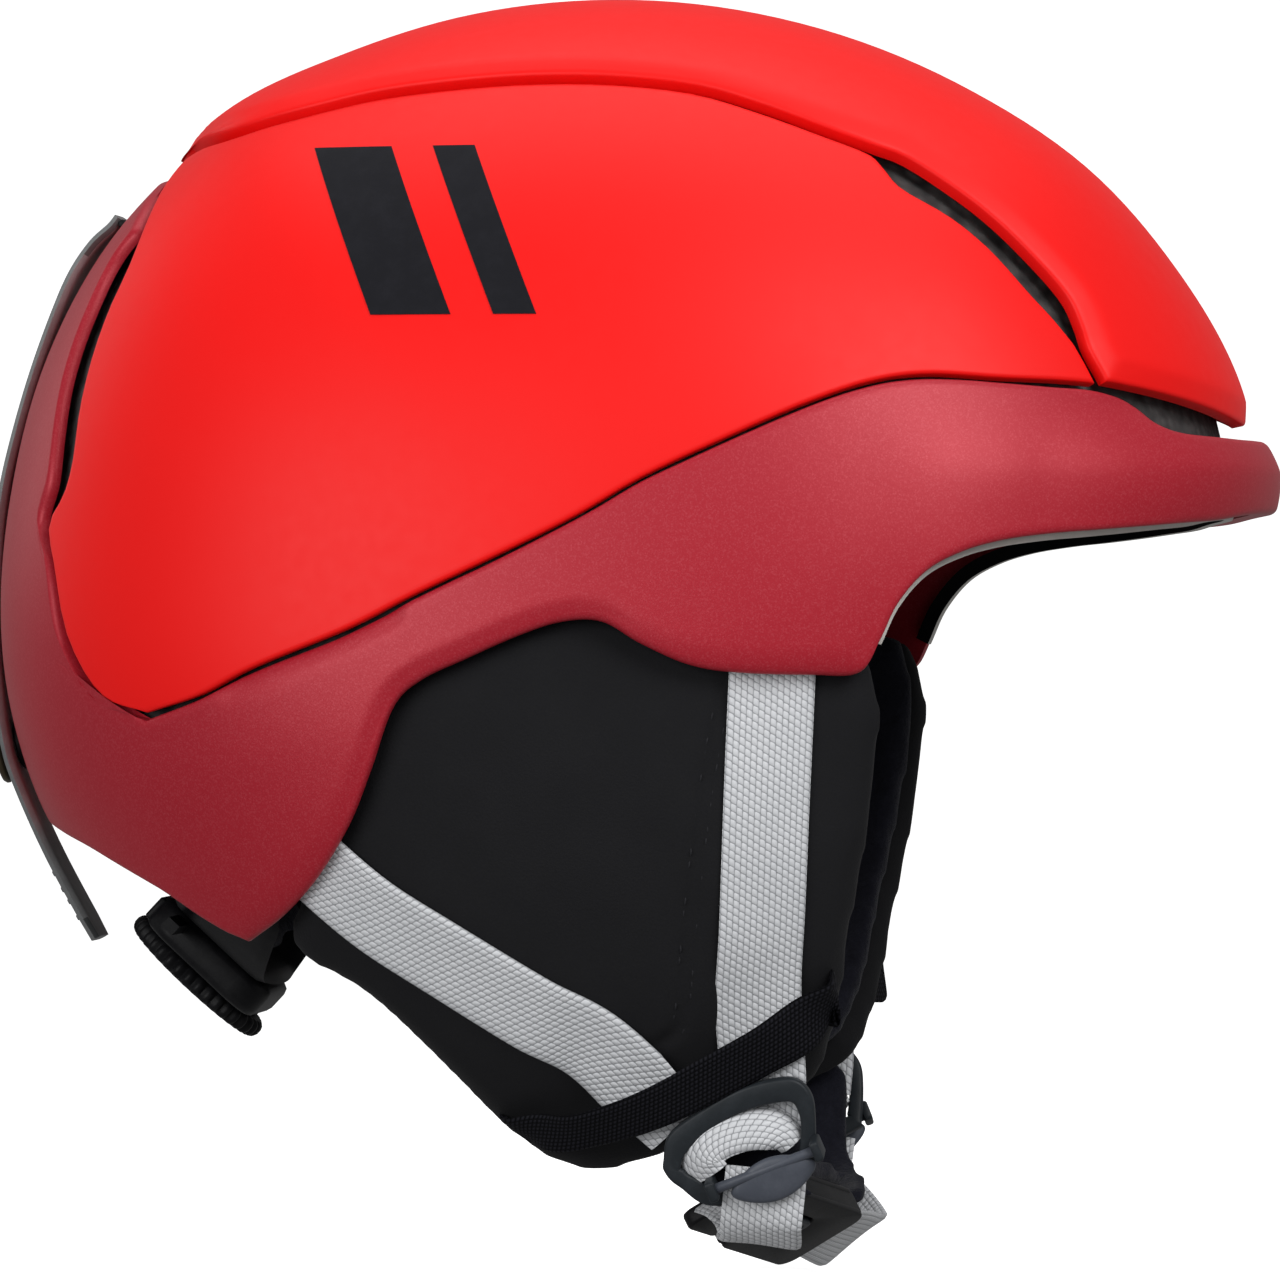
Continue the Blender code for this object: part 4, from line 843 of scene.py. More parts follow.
def lower_shell():
    """Band round the helmet: brim, side rails, ear cut-outs and the rear spine."""
    tops = [*side([top for top, _ in LOWER_RIBS]), *(front(y, z) for y, z, _ in LOWER_FRONT)]
    bottoms = [*side([low for _, low in LOWER_RIBS]), *(front(y, z) for y, _, z in LOWER_FRONT)]
    ts, vs = steps(ALONG_STEPS), eased(BAND_STEPS)
    ribs = np.array([between(low, high, vs)
                     for low, high in zip(curve(bottoms, ts), curve(tops, ts))])
    spine_edge = curve(side(SPINE_EDGE), steps(SPINE_STEPS))
    right = np.vstack([ribs[0], spine_edge[1:]])
    whole = BAND_STEPS + SPINE_STEPS
    share = np.concatenate([vs * BAND_STEPS / whole, BAND_STEPS / whole
                            + steps(SPINE_STEPS)[1:] * SPINE_STEPS / whole])
    nape = [rear(y, z) for y, z in NAPE_EDGE] + [*side([(-97.3, -156.4), (-86.0, -163.2)])]
    us = steps(28)
    top = curve([rear(y, z) for y, z in SPINE_TOP] + [spine_edge[-1]], us)
    bottom = curve(nape + [ribs[0][0]], us)
    left = evenly([bottom[0], rear(0, -118.0), rear(0, -90.0), rear(0, -60.0), rear(0, -30.0),
                   top[0]], share)
    grids = [ribs.transpose(1, 0, 2), coons(bottom, top, left, right, us, share)]
    points, faces = welded(grids, mirror=True)
    brim = brim_lift(points)
    everywhere = rim_distance(points, faces)

    def ear_side(p):
        return -80 < p[0] < 60 and p[2] < -98

    ear = rim_distance(points, faces, ear_side)
    outer = brim + rolled(everywhere, 1.3, 1.0)
    bevel = np.clip(1 - ear / 4.2, 0, 1)
    fade = ease((points[:, 0] + 84) / 10) * ease((58 - points[:, 0]) / 8)
    outer -= 1.15 * bevel * fade
    inner = np.minimum(0.6 * brim, 3.0) - SHELL
    look("lower_shell", thick(points, faces, outer, inner), RASPBERRY, "raspberry_shell",
         sharp=SHELL_SHARP)


def brow_trim():
    """Pale edge strip just inside the face opening."""
    right = [*side([low for _, low in LOWER_RIBS[16:]])]
    right += [front(y, low) for y, _, low in LOWER_FRONT]
    whole = np.array(right + [mirrored(p) for p in right[-2::-1]])
    edge = evenly(whole, steps(200))
    rows = [beside(edge, amount) for amount in (1.4, 0.4, -0.6, -1.9)]
    points, faces = welded([np.array(rows)])
    outer = -SHELL - 0.6 + rolled(rim_distance(points, faces), 0.6, 0.35)
    trim = look("brow_trim", thick(points, faces, outer, -SHELL - 2.8), TRIM, "trim_rubber",
                sharp=SHELL_SHARP)
    trim.data.materials.append(BLACK)
    for face in trim.data.polygons:
        centre = np.array(face.center) / MM
        if skin_normals(centre)[0] @ np.array(face.normal) < -0.3:
            face.material_index = 1


def liner_rim(count):
    """Closed line round the foam's lower edge."""
    half = [rear(0, -139.0), rear(-26, -141.0), rear(-50, -146.0)]
    half += [*side(LINER_RIM)]
    half += [front(-34, -73.6), front(0, -73.0)]
    right = evenly(half, steps(count // 2))
    return np.vstack([right, mirrored(right[-2:0:-1])])


def liner_depth(points):
    """How deep under the skin the foam's inner face lies, thinner at the sides and crown."""
    heading = unit(points - CENTRE)
    return (LINER_AT + 25.0 - 7.0 * heading[:, 1] ** 2
            - 3.0 * np.maximum(0, heading[:, 2]) ** 2)


def eps_liner():
    """Foam dome, with rolled lower rim and moulded channels inside."""
    rim = unit(liner_rim(160) - CENTRE)
    pole = np.array([0.0, 0.0, 1.0])
    rows = []
    for share in np.concatenate([[0, 0.006, 0.016, 0.03, 0.05], np.linspace(0.075, 1, 34)]):
        angle = np.arccos(np.clip(rim @ pole, -1, 1))[:, None]
        row = (rim * np.sin((1 - share) * angle) + pole * np.sin(share * angle)) / np.sin(angle)
        row = on_skin(row)
        rows.append(np.vstack([row, row[:1]]))
    points, faces = welded([np.array(rows)])
    distance = rim_distance(points, faces)
    depth = liner_depth(points)
    heading = unit(points - CENTRE)
    channel = np.cos(np.arctan2(heading[:, 1], heading[:, 0]) * LINER_GROOVES)
    groove = GROOVE_DEPTH * ease((channel - 0.72) / 0.2) * ease((distance - 12) / 12)
    groove *= ease((0.97 - heading[:, 2]) / 0.1)
    outer = -LINER_AT - 0.2 + rolled(distance, 3.0, 2.0)
    inner = -depth + groove - rolled(distance, 4.0, 3.0)
    look("eps_liner", thick(points, faces, outer, inner), FOAM, "foam", sharp=SHELL_SHARP)


# ------------------------------------------------------------------------- soft goods
def remeshed(piece, voxel):
    modifier = piece.modifiers.new("voxels", "REMESH")
    modifier.mode = "VOXEL"
    modifier.voxel_size = voxel * MM
    modifier.use_smooth_shade = True
    apply_modifiers(piece)


def finer(piece):
    fine = piece.modifiers.new("fine", "SUBSURF")
    fine.levels = fine.render_levels = 1
    apply_modifiers(piece)


def apply_modifiers(piece):
    bpy.context.view_layer.update()
    evaluated = piece.evaluated_get(bpy.context.evaluated_depsgraph_get())
    mesh = bpy.data.meshes.new_from_object(evaluated)
    old = piece.data
    piece.modifiers.clear()
    piece.data = mesh
    bpy.data.meshes.remove(old)


CLOTH_FRAMES = 20
CLOTH = {"quality": 4, "mass": 0.2, "tension_stiffness": 18, "compression_stiffness": 12,
         "shear_stiffness": 8, "bending_stiffness": 0.6, "use_pressure": True}


def puffed(piece, voxel, pressure, cap):
    """Inflate a closed pad with a short cloth simulation, each point moving at most cap."""
    remeshed(piece, voxel)
    rest = np.array([v.co for v in piece.data.vertices])
    modifier = piece.modifiers.new("cloth", "CLOTH")
    for setting, value in CLOTH.items():
        setattr(modifier.settings, setting, value)
    modifier.settings.uniform_pressure_force = pressure
    modifier.settings.effector_weights.gravity = 0
    modifier.point_cache.frame_start = 1
    modifier.point_cache.frame_end = CLOTH_FRAMES
    for number in range(1, CLOTH_FRAMES + 1):
        bpy.context.scene.frame_set(number)
    apply_modifiers(piece)
    bpy.context.scene.frame_set(1)
    moved = np.array([v.co for v in piece.data.vertices])
    shift = moved - rest
    length = np.linalg.norm(shift, axis=1, keepdims=True)
    shift *= np.minimum(1, cap * MM / np.maximum(length, 1e-9))
    piece.data.vertices.foreach_set("co", (rest + shift).astype(np.float32).ravel())
    smooth = piece.modifiers.new("smooth", "SMOOTH")
    smooth.factor = 0.5
    smooth.iterations = 7
    finer(piece)
    piece.data.shade_smooth()
    piece.data.update()


def reshaped(piece, change):
    """Move a piece's points, in millimetres, by a function of their places."""
    co = np.array([v.co for v in piece.data.vertices]) / MM
    piece.data.vertices.foreach_set("co", (change(co) * MM).astype(np.float32).ravel())
    piece.data.update()


def soft(node, shape, material, body, voxel, pressure, cap, finish=None):
    """Padded piece for one CAD node, inflated and then finished."""
    pad = make("look_" + node, *shape, material, None)
    puffed(pad, voxel, pressure, cap)
    if finish:
        finish(pad)
    settle(pad, body, [node])
    return pad


def copy_mirrored(piece, node):
    """The piece's mirror image, in place of a CAD node on the helmet's left."""
    mesh = piece.data.copy()
    mesh.transform(Matrix.Scale(-1, 4, (0, 1, 0)))
    mesh.flip_normals()
    made = bpy.data.objects.new("look_" + node, mesh)
    bpy.context.scene.collection.objects.link(made)
    return settle(made, "helmet", [node])


def pad_edges(us, vs, inset=0.0):
    middle = np.array([4.0, -155.0])

    def place(outline):
        flat = np.array(outline, float)
        toward = middle - flat
        reach = np.linalg.norm(toward, axis=1, keepdims=True)
        return side(flat + toward / reach * np.minimum(inset, reach))

    bottom, top = curve(place(PAD_LOWER), us), curve(place(PAD_UPPER), us)
    left = between(bottom[0], top[0], vs)
    right = curve(place(PAD_FRONT[::-1]), vs)
    return bottom, top, left, right


def pad_form(inset, outer_at, thickness, crown):
    """Closed pad whose two faces are crowned and meet in a rounded edge."""
    us, vs = eased(60), eased(36)
    points, faces = welded([coons(*pad_edges(us, vs, inset), us, vs)])
    distance = rim_distance(points, faces)
    half = thickness / 2 * (0.45 + 0.55 * bulged(distance, thickness * 0.75))
    middle = -outer_at - thickness / 2 + crown * ease(distance / 30)
    return thick(points, faces, middle + half, middle - half)


def seam_line(piece, flat, count):
    """Points on a pad's outer face along a side-view line, with the face's normals."""
    tree = BVHTree.FromObject(piece, bpy.context.evaluated_depsgraph_get())
    found, normals = [], []
    for point in evenly(side(flat), steps(count)):
        out = skin_normals(point)[0]
        start = Vector((point + out * 25) * MM)
        hit, normal, _, _ = tree.ray_cast(start, Vector(-out))
        if hit is None:
            continue
        found.append(np.array(hit) / MM)
        normals.append(np.array(normal))
    return np.array(found), np.array(normals)


STITCH_PITCH, STITCH, THREAD_RADIUS, STITCH_PROUD = 2.6, 1.7, 0.22, 0.05
STITCH_SHAPE = [(0.35, -0.05), (0.9, 0.12), (1.0, 0.12), (0.9, 0.12), (0.35, -0.05)]


def stitches(line, normals, offset):
    """Short rounded threads laid along a line, each of five rings."""
    reach = lengths(line)
    parts = []
    for begin in np.arange(STITCH_PITCH / 2, reach[-1] - STITCH, STITCH_PITCH):
        at = [np.array([np.interp(begin + STITCH * k / 4, reach, line[:, i]) for i in range(3)])
              for k in range(5)]
        out = unit([np.interp(begin, reach, normals[:, i]) for i in range(3)])
        across = np.cross(unit(at[-1] - at[0]), out)
        verts = []
        for point, (size, rise) in zip(at, STITCH_SHAPE):
            centre = point + out * (STITCH_PROUD + rise) + across * offset
            for a, b in circle(6):
                verts.append(centre + (across * a + out * b) * THREAD_RADIUS * size)
        parts.append((np.array(verts), tube_faces(5, 6)))
    return merged(parts)


PAD_SEAM = [(26.6, -113.0), (24.0, -126.0), (21.7, -140.0), (20.3, -151.0), (18.3, -167.0),
            (16.5, -183.0), (15.0, -188.0), (11.4, -191.0)]


def groove_along(piece, line, width, depth):
    """Press a sewn channel into a pad along a line of points."""
    tree = kd_tree(line)

    def change(co):
        near = np.array([tree.find(p)[2] for p in co])
        sink = depth * np.exp(-(near / width) ** 2)
        return co - skin_normals(co) * sink[:, None]

    reshaped(piece, change)


def ear_pads():
    """Cloth cover with a sewn front panel, and a fleece lining behind it."""
    shape = pad_form(0.0, EAR_PAD_AT + 0.4, EAR_PAD - 0.8, 0.6)
    cover = make("look_ear_pad_right", *shape, SOFTSHELL, None)
    puffed(cover, voxel=2.5, pressure=4.0, cap=1.2)
    seam, _ = seam_line(cover, PAD_SEAM, 120)
    groove_along(cover, seam, 1.5, 0.8)
    seam, out = seam_line(cover, PAD_SEAM, 160)
    settle(cover, "helmet", ["ear_pad_right"])
    other_cover = copy_mirrored(cover, "ear_pad_left")
    for offset, name in ((-1.5, "rear"), (1.5, "front")):
        both("seam_" + name, *stitches(seam, out, offset), THREAD, slot="softshell",
             replaces=False)

    shape = pad_form(-1.5, EAR_PAD_AT + EAR_PAD + 0.4, EAR_LINING + 2.0, 0.0)
    lining = make("look_ear_lining_right", *shape, FLEECE, None)
    puffed(lining, voxel=2.0, pressure=3.0, cap=1.0)
    settle(lining, "helmet", ["ear_lining_right"])
    other_lining = copy_mirrored(lining, "ear_lining_left")


def inner_pad(name, corners, thickness, quilt, mirror=False):
    """Comfort pad on the foam's inner face, with pressed quilting lines."""
    us, vs = eased(34), eased(24)
    bottom, top = between(corners[0], corners[1], us), between(corners[3], corners[2], us)
    left, right = between(corners[0], corners[3], vs), between(corners[1], corners[2], vs)
    points, faces = welded([coons(bottom, top, left, right, us, vs)])
    half = (thickness - 0.4) / 2 * (0.40 + 0.60 * bulged(rim_distance(points, faces), 5.0))
    middle = -liner_depth(points) - PAD_GAP - thickness / 2

    def quilted(co):
        inside = level(co) * 100
        wave = np.cos(co[:, 0] / quilt * math.pi) ** 8
        wave = np.maximum(wave, np.cos(co[:, 1] / quilt * math.pi) ** 8)
        facing = ease((np.median(inside) - inside) / 2.0)
        return co + unit(co - CENTRE) * (1.3 * wave * facing)[:, None]

    def finish(pad):
        finer(pad)
        reshaped(pad, quilted)

    shape = thick(points, faces, middle + half, middle - half)
    pad = soft(name + "_right" if mirror else name, shape, COMFORT, "helmet",
               voxel=4.0, pressure=3.0, cap=1.0, finish=finish)
    if mirror:
        copy_mirrored(pad, name + "_left")


def comfort_pads():
    a, b = side([(-62, 8)])[0], side([(58, -6)])[0]
    inner_pad("crown_pad", (a, b, mirrored(b), mirrored(a)), 5.0, 17.0)
    low, high = front(-58, -74.0), front(-52, -44.0)
    inner_pad("brow_pad", (low, mirrored(low), mirrored(high), high), 6.0, 19.0)
    low, high = rear(-44, -116.0), rear(-44, -66.0)
    inner_pad("nape_pad", (low, mirrored(low), mirrored(high), high), 5.0, 16.0)
    corners = side([(-52, -92), (46, -86), (46, -50), (-46, -42)])
    inner_pad("side_pad", corners, 5.0, 18.0, mirror=True)


# ----------------------------------------------------------------- dividers and straps
def divider_frame():
    out = Vector((0.0, -math.cos(DIVIDER_TILT), -math.sin(DIVIDER_TILT)))
    return frame_at(DIVIDER_CENTRE, Vector((1, 0, 0)), out)


DIVIDER = divider_frame()
DIVIDER_OUT = np.array(DIVIDER.to_3x3() @ OUTWARD)
LEVER = DIVIDER @ Matrix.Translation((5.4, -10.4, 0)) @ Matrix.Rotation(math.radians(22), 4, "Z")
LEVER_AT = DIVIDER_THICK + 2.8
LEVER_LONG, LEVER_WIDE, LEVER_SHIFT = 19.0, 9.4, (3.1, 1.7)
LEVER_LAYERS = [(0.90, 0.0), (0.975, 0.25), (1.0, 0.8), (0.985, 1.3), (0.93, 1.65),
                (0.80, 1.9), (0.55, 2.08), (0.25, 2.15)]
HINGE_UP, HINGE_OUT = 4.2, LEVER_AT + 1.1
HINGE_LUGS = ((13.0, 14.9), (-10.8, -8.7))


def cylinder(place, radius, low, high, count):
    """Round bar on the frame's third axis, with eased rims."""
    edge = 0.2
    return turned([(radius - edge, low), (radius, low + edge), (radius, high - edge),
                   (radius - edge, high)], place, count)


def ring_stack(outer, inner, low, high, edge, place):
    """Closed frame with a hole, whose four rims are rounded."""
    outside = [(edge, high), (edge * 0.3, high - edge * 0.25), (0, high - edge),
               (0, low + edge), (edge * 0.3, low + edge * 0.25), (edge, low)]
    loops = [(scaled(outer, inset), height) for inset, height in outside]
    loops += [(scaled(inner, -inset), height) for inset, height in reversed(outside)]
    verts = np.vstack([placed(place, [(a, b, height) for a, b in loop])
                       for loop, height in loops])
    return verts, tube_faces(len(loops), len(outer), joined=True)


def dividers():
    outer, inner = closed_curve(DIVIDER_OUTER, 104), closed_curve(DIVIDER_SLOT, 104)
    parts = [ring_stack(outer, inner, 0.0, DIVIDER_THICK, 0.7, DIVIDER)]
    for low, high in HINGE_LUGS:
        outline = rounded_rectangle(low, high, HINGE_UP - 2.2, HINGE_UP + 2.2, 0.6, 3)
        parts.append(pillow_cap(outline, DIVIDER_THICK - 1.0, HINGE_OUT + 2.0, LEVER, 0.5))
    both("divider", *merged(parts), SLATE, slot="slate_plastic", sharp=50)

    a, b = circle(48).T
    lens = np.column_stack([LEVER_LONG / 2 * a, LEVER_WIDE / 2 * b * (1 - 0.35 * a * a)])
    plate = stack([lens * share + LEVER_SHIFT for share, _ in LEVER_LAYERS],
                  [LEVER_AT + rise for _, rise in LEVER_LAYERS], LEVER)
    bar = LEVER @ Matrix.Translation((0, HINGE_UP, HINGE_OUT))
    pin = cylinder(bar @ Matrix.Rotation(math.pi / 2, 4, "Y"), 1.1, -9.8, 14.0, 16)
    both("divider_lever", *merged([plate, pin]), LEVER_SLATE, slot="slate_plastic", sharp=50,
         body={"right": "divider_lever_right", "left": "divider_lever_left"})


def path_on_skin(flat, depth):
    """Places under the skin, and its normals there, along a side-view line."""
    places = side(flat)
    normals = skin_normals(places)
    return list(places - normals * np.reshape(depth, (-1, 1))), list(normals)


def band(places, normals, width, thickness, count, **shape):
    """Ribbon along a smooth path through the places, evenly stationed by length."""
    ts = steps(count)
    return ribbon(evenly(places, ts), curve(normals, ts), width, thickness, **shape)


def side_straps():
    """Webbing from under the shell to the divider, where it bunches over the top bar."""
    places, normals = path_on_skin(FRONT_STRAP, WEBBING_AT)
    places += [*placed(DIVIDER, [(5.2, 12.0, -1.5), (4.6, 2.0, -1.5)])]
    verts, faces, uv = band(places, normals + [DIVIDER_OUT] * 2, WEBBING_WIDE, WEBBING_THICK,
                            150, across=20)
    both("front_strap", verts, faces, WEBBING, slot="webbing", uv=uv)
    places, normals = path_on_skin(REAR_STRAP, WEBBING_AT)
    places += [*placed(DIVIDER, [(-13.0, 1.0, -1.5)])]
    wide = np.interp(steps(150), [0, 0.86, 1], [WEBBING_WIDE, WEBBING_WIDE, 14.5])
    verts, faces, uv = band(places, normals + [DIVIDER_OUT], wide, WEBBING_THICK, 150,
                            across=20)
    both("rear_strap", verts, faces, WEBBING, slot="webbing", uv=uv)

    arc, facing = [], []
    for share in steps(10):
        t = math.radians(214 - 186 * share)
        arc.append((3.6 + (11.5 - 2.9 * share ** 2) * math.cos(t),
                    -4.4 + (6.7 - 0.5 * share ** 2) * math.sin(t), 1.9 - 0.8 * share ** 4))
        facing.append((math.cos(t) * 0.55, math.sin(t) * 0.55, 1))
    wide = np.interp(steps(90), [0, 0.5, 0.8, 1], [11.0, 10.6, 9.2, 6.2])
    verts, faces, uv = band(placed(DIVIDER, arc), placed(DIVIDER.to_3x3(), facing), wide, 1.9,
                            90, across=14, dome=0.55)
    both("strap_gather", verts, faces, WEBBING, slot="webbing", uv=uv, replaces=False)


def keeper_bands():
    """Elastic across the pad, wrapped round its front edge and tucked under it behind."""
    depths = [depth for _, _, depth in KEEPER]
    places, normals = path_on_skin([(x, z) for x, z, _ in KEEPER], depths)
    ahead = places[0] + np.array([(-1.5, 7.5, 0.3), (-0.6, 5.0, 0.2), (0.2, 2.5, 0.1)])
    behind = places[-1] + np.array([(-1.2, 3.0, 0.4), (-1.4, 6.5, 1.0), (-0.8, 10.0, 1.8)])
    normals = ([(0.9, 0.35, 0.1), (0.95, 0.1, 0.1), (0.7, -0.7, 0.0)] + normals
               + [(-0.45, -0.7, -0.5), (-0.6, 0.0, -0.8), (-0.5, 0.3, -0.8)])
    wide = np.interp(steps(140), [0, 0.25, 0.6, 1], [12.0, 12.0, 10.4, 9.0])
    verts, faces, uv = band([*ahead, *places, *behind], normals, wide, 1.15, 140, across=14)
    both("keeper_band", verts, faces, ELASTIC, slot="elastic", uv=uv)


# ------------------------------------------------------------------------- chin strap
BUCKLE = frame_at(BUCKLE_NEAR, BUCKLE_ALONG, BUCKLE_OUT)
BUCKLE_UP = np.array(BUCKLE.to_3x3() @ OUTWARD)
SOCKET_LENGTH, PLUG_NECK, CHIN_GAP = 38.0, 13.0, 1.7
SLING_END_WIDE = 11.0
SLING_TOP = placed(DIVIDER, [(6.0, -6.4, 4.1), (5.4, -12.0, 4.1), (4.6, -18.8, 3.6)])


def near_webbing():
    """Webbing from the right divider to the plug."""
    end = -PLUG_NECK - CHIN_GAP
    line = [*SLING_TOP, (31.0, -71.5, -229.8), (28.4, -61.5, -228.0),
            *placed(BUCKLE, [(end - 7, 0, 1.6), (end + 4, 0, 0)])]
    facing = [DIVIDER_OUT, DIVIDER_OUT, (0, -0.85, -0.5), (0.15, -0.3, -0.95),
              (0.35, -0.3, -0.88), BUCKLE_UP, BUCKLE_UP]
    wide = np.interp(steps(170), [0, 0.50, 0.72, 1], [SLING_WIDE, SLING_WIDE] + [SLING_END_WIDE] * 2)
    verts, faces, uv = band(line, facing, wide, WEBBING_THICK, 170, across=20)
    near = make("look_chin_webbing_right", verts, faces, WEBBING, None, ["chin_webbing_right"],
                "webbing", uv=uv)
    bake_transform(near)


def far_webbing():
    """Webbing from the left divider to the socket."""
    line = [*mirrored(SLING_TOP), (37.5, 70.0, -229.8), (42.0, 58.0, -233.6),
            (43.4, 42.0, -235.2), (42.0, 25.0, -234.0),
            *placed(BUCKLE, [(SOCKET_LENGTH + CHIN_GAP - 4, 0, 0)])]
    hanging = mirrored(DIVIDER_OUT)
    facing = [hanging, hanging, (0.1, 0.9, -0.4), (0.35, 0.5, -0.8), (0.6, 0.2, -0.75),
              (0.68, 0.0, -0.7), (0.6, -0.15, -0.78), BUCKLE_UP]
    verts, faces, uv = band(line, facing, SLING_WIDE, WEBBING_THICK, 170, across=20)
    look("chin_webbing_left", (verts, faces), WEBBING, "webbing", "chin_sling", sharp=40, uv=uv)


def chin_pad():
    outline = rounded_rectangle(-4.5, 39.0, -13.0, 13.0, 5.0, 8)
    soft("chin_pad", pillow_cap(outline, -9.3, -4.2, BUCKLE, 2.3), FLEECE, "chin_sling",
         voxel=3.0, pressure=4.0, cap=1.5)


STRAP_PAD = [(29.2, -73.8, -197.5), (29.5, -73.3, -208.5), (29.8, -72.2, -216.0),
             (30.6, -69.0, -222.9)]
STRAP_PAD_FACING = [(0, -1, 0), (0, -1, 0), (0, -0.98, -0.2), (0.05, -0.8, -0.6)]
STRAP_PAD_TAIL = [(34.6, 62.0, -228.0), (38.4, 50.0, -230.6)]
STRAP_PAD_TAIL_FACING = [(0.35, 0.45, -0.8), (0.55, 0.1, -0.8)]
STRAP_PAD_WIDE, STRAP_PAD_THICK = 25.4, 4.0


def strap_pads():
    """Fleece-faced pads between the dividers and the wearer's jaw."""
    line, facing = np.array(STRAP_PAD), np.array(STRAP_PAD_FACING, float)
    runs = {"right": (line, facing),
            "left": (np.vstack([mirrored(line), STRAP_PAD_TAIL]),
                     np.vstack([mirrored(facing), STRAP_PAD_TAIL_FACING]))}
    ts = steps(60)
    wide = STRAP_PAD_WIDE * (0.78 + 0.22 * bulged(np.minimum(ts, 1 - ts), 0.12))
    for hand, (places, normals) in runs.items():
        shape = band(places, normals, wide, STRAP_PAD_THICK, 60, across=14)[:2]
        soft("strap_pad_" + hand, shape, FLEECE, "chin_sling", voxel=2.5,
             pressure=3.0, cap=0.5)


BUCKLE_HALF, BUCKLE_WALL = 11.0, 2.2
BUTTON_RIBS = (11.0, 13.0, 15.0, 17.0)


def buckle_parts():
    """Side-release buckle: socket with a thumb window, plug and button."""
    outline = rounded_rectangle(0.0, SOCKET_LENGTH, -BUCKLE_HALF, BUCKLE_HALF, 4.0, 8)
    window = rounded_rectangle(7.8, 20.2, -5.2, 5.2, 1.6, 8)
    shell = [ring_stack(outline, window, 1.9, 3.4, 0.5, BUCKLE),
             pillow_cap(outline, -3.4, -1.9, BUCKLE, 0.6)]
    for low in (-BUCKLE_HALF, BUCKLE_HALF - BUCKLE_WALL):
        high = low + BUCKLE_WALL
        wall = rounded_rectangle(0.6, SOCKET_LENGTH - 1.5, low + 0.2, high - 0.2, 0.8, 4)
        shell.append(pillow_cap(wall, -2.4, 2.4, BUCKLE, 0.3))
    block = rounded_rectangle(25.6, SOCKET_LENGTH - 0.8, -10.0, 10.0, 2.0, 6)
    shell.append(pillow_cap(block, -2.4, 2.4, BUCKLE, 0.3))
    look("buckle_socket", merged(shell), BLACK, "black_plastic", "chin_sling")
    body = rounded_rectangle(-PLUG_NECK - 4.0, -0.6, -10.5, 10.5, 2.6, 6)
    tongue = rounded_rectangle(-3.0, 23.6, -7.8, 7.8, 2.4, 6)
    plug = merged([pillow_cap(body, -1.8, 1.8, BUCKLE, 0.7),
                   pillow_cap(tongue, -1.1, 1.1, BUCKLE, 0.4)])
    look("buckle_plug", plug, BLACK, "black_plastic", "buckle_plug")
    button = [pillow_cap(rounded_rectangle(8.5, 19.5, -4.5, 4.5, 1.3, 6), 2.6, 4.2, BUCKLE, 0.5)]
    for middle in BUTTON_RIBS:
        rib = rounded_rectangle(middle - 0.45, middle + 0.45, -3.2, 3.2, 0.4, 3)
        button.append(pillow_cap(rib, 3.9, 4.5, BUCKLE, 0.2))
    look("buckle_button", merged(button), SLATE, "slate_plastic", "buckle_button")


# ------------------------------------------------------------------- goggle retainer
RETAINER_STEPS = 170
CAP_PROFILE = [(6.6, 0.1), (7.3, 0.25), (7.75, 0.7), (7.7, 1.3), (7.2, 1.85), (6.6, 2.0),
               (5.9, 1.85), (5.4, 1.6), (4.9, 1.6), (3.0, 1.75), (0.8, 1.85)]
STUD_PROFILE = [(4.6, -2.2), (5.3, -1.9), (5.5, -1.4), (5.5, -0.7), (5.0, -0.4)]


def goggle_retainer():
    """Rubber band with a stiffer edge, a round snap and finger ribs on its tail."""
    ts = steps(RETAINER_STEPS)
    centres = evenly(np.array([(x, 0.0, z) for x, z in RETAINER]), ts)
    normals = np.cross(unit(np.gradient(centres, axis=0)), (0, -1, 0))
    normals *= -np.sign(normals[:, :1])
    taper = np.interp(ts, [0, 0.03, 0.12, 0.9, 0.97, 1.0], [17.5, 20, 22, 22, 21, 17.5])
    shape = ribbon(centres, normals, taper, RETAINER_THICK, across=16)[:2]
    made = look("goggle_strap", shape, BAND_EDGE, "retainer_rubber", "goggle_retainer")
    made.data.materials.append(BAND_FACE)
    tree = kd_tree(centres * MM)
    for face in made.data.polygons:
        _, k, _ = tree.find(face.center)
        if face.normal.dot(Vector(normals[k])) < -0.8:
            face.material_index = 1
    ribs = []
    rib = rounded_rectangle(-7.5, 7.5, -0.6, 0.6, 0.55, 4)
    for share in (0.905, 0.925, 0.945, 0.965):
        k = int(share * RETAINER_STEPS)
        place = frame_at(centres[k], (0, 1, 0), normals[k])
        ribs.append(pillow_cap(rib, 0.6, 1.5, place, 0.3))
    make("retainer_ribs", *merged(ribs), BAND_EDGE, "goggle_retainer", (), "retainer_rubber",
         sharp=50)
    pin = frame_at((-111.2, 0.0, -14.4), (1, 0, 0), (0, 1, 0))
    look("retainer_pin", cylinder(pin, 0.95, -9.0, 9.0, 20), BLACK, "black_plastic")
    snap = int(np.argmin(np.abs(centres[:, 2] - SNAP_HEIGHT)))
    place = frame_at(centres[snap], (0, 1, 0), normals[snap])
    half = RETAINER_THICK / 2
    cap = turned([(radius, half + rise) for radius, rise in CAP_PROFILE], place, 64)
    look("snap_cap", cap, BRONZE, "bronze", "goggle_retainer")
    stud = turned([(radius, -half + rise) for radius, rise in STUD_PROFILE], place, 64)
    look("snap_stud", stud, BLACK, "black_plastic")


# ------------------------------------------------------------------------- fit system
DIAL = frame_at(DIAL_CENTRE, (0, -1, 0), DIAL_AXIS)


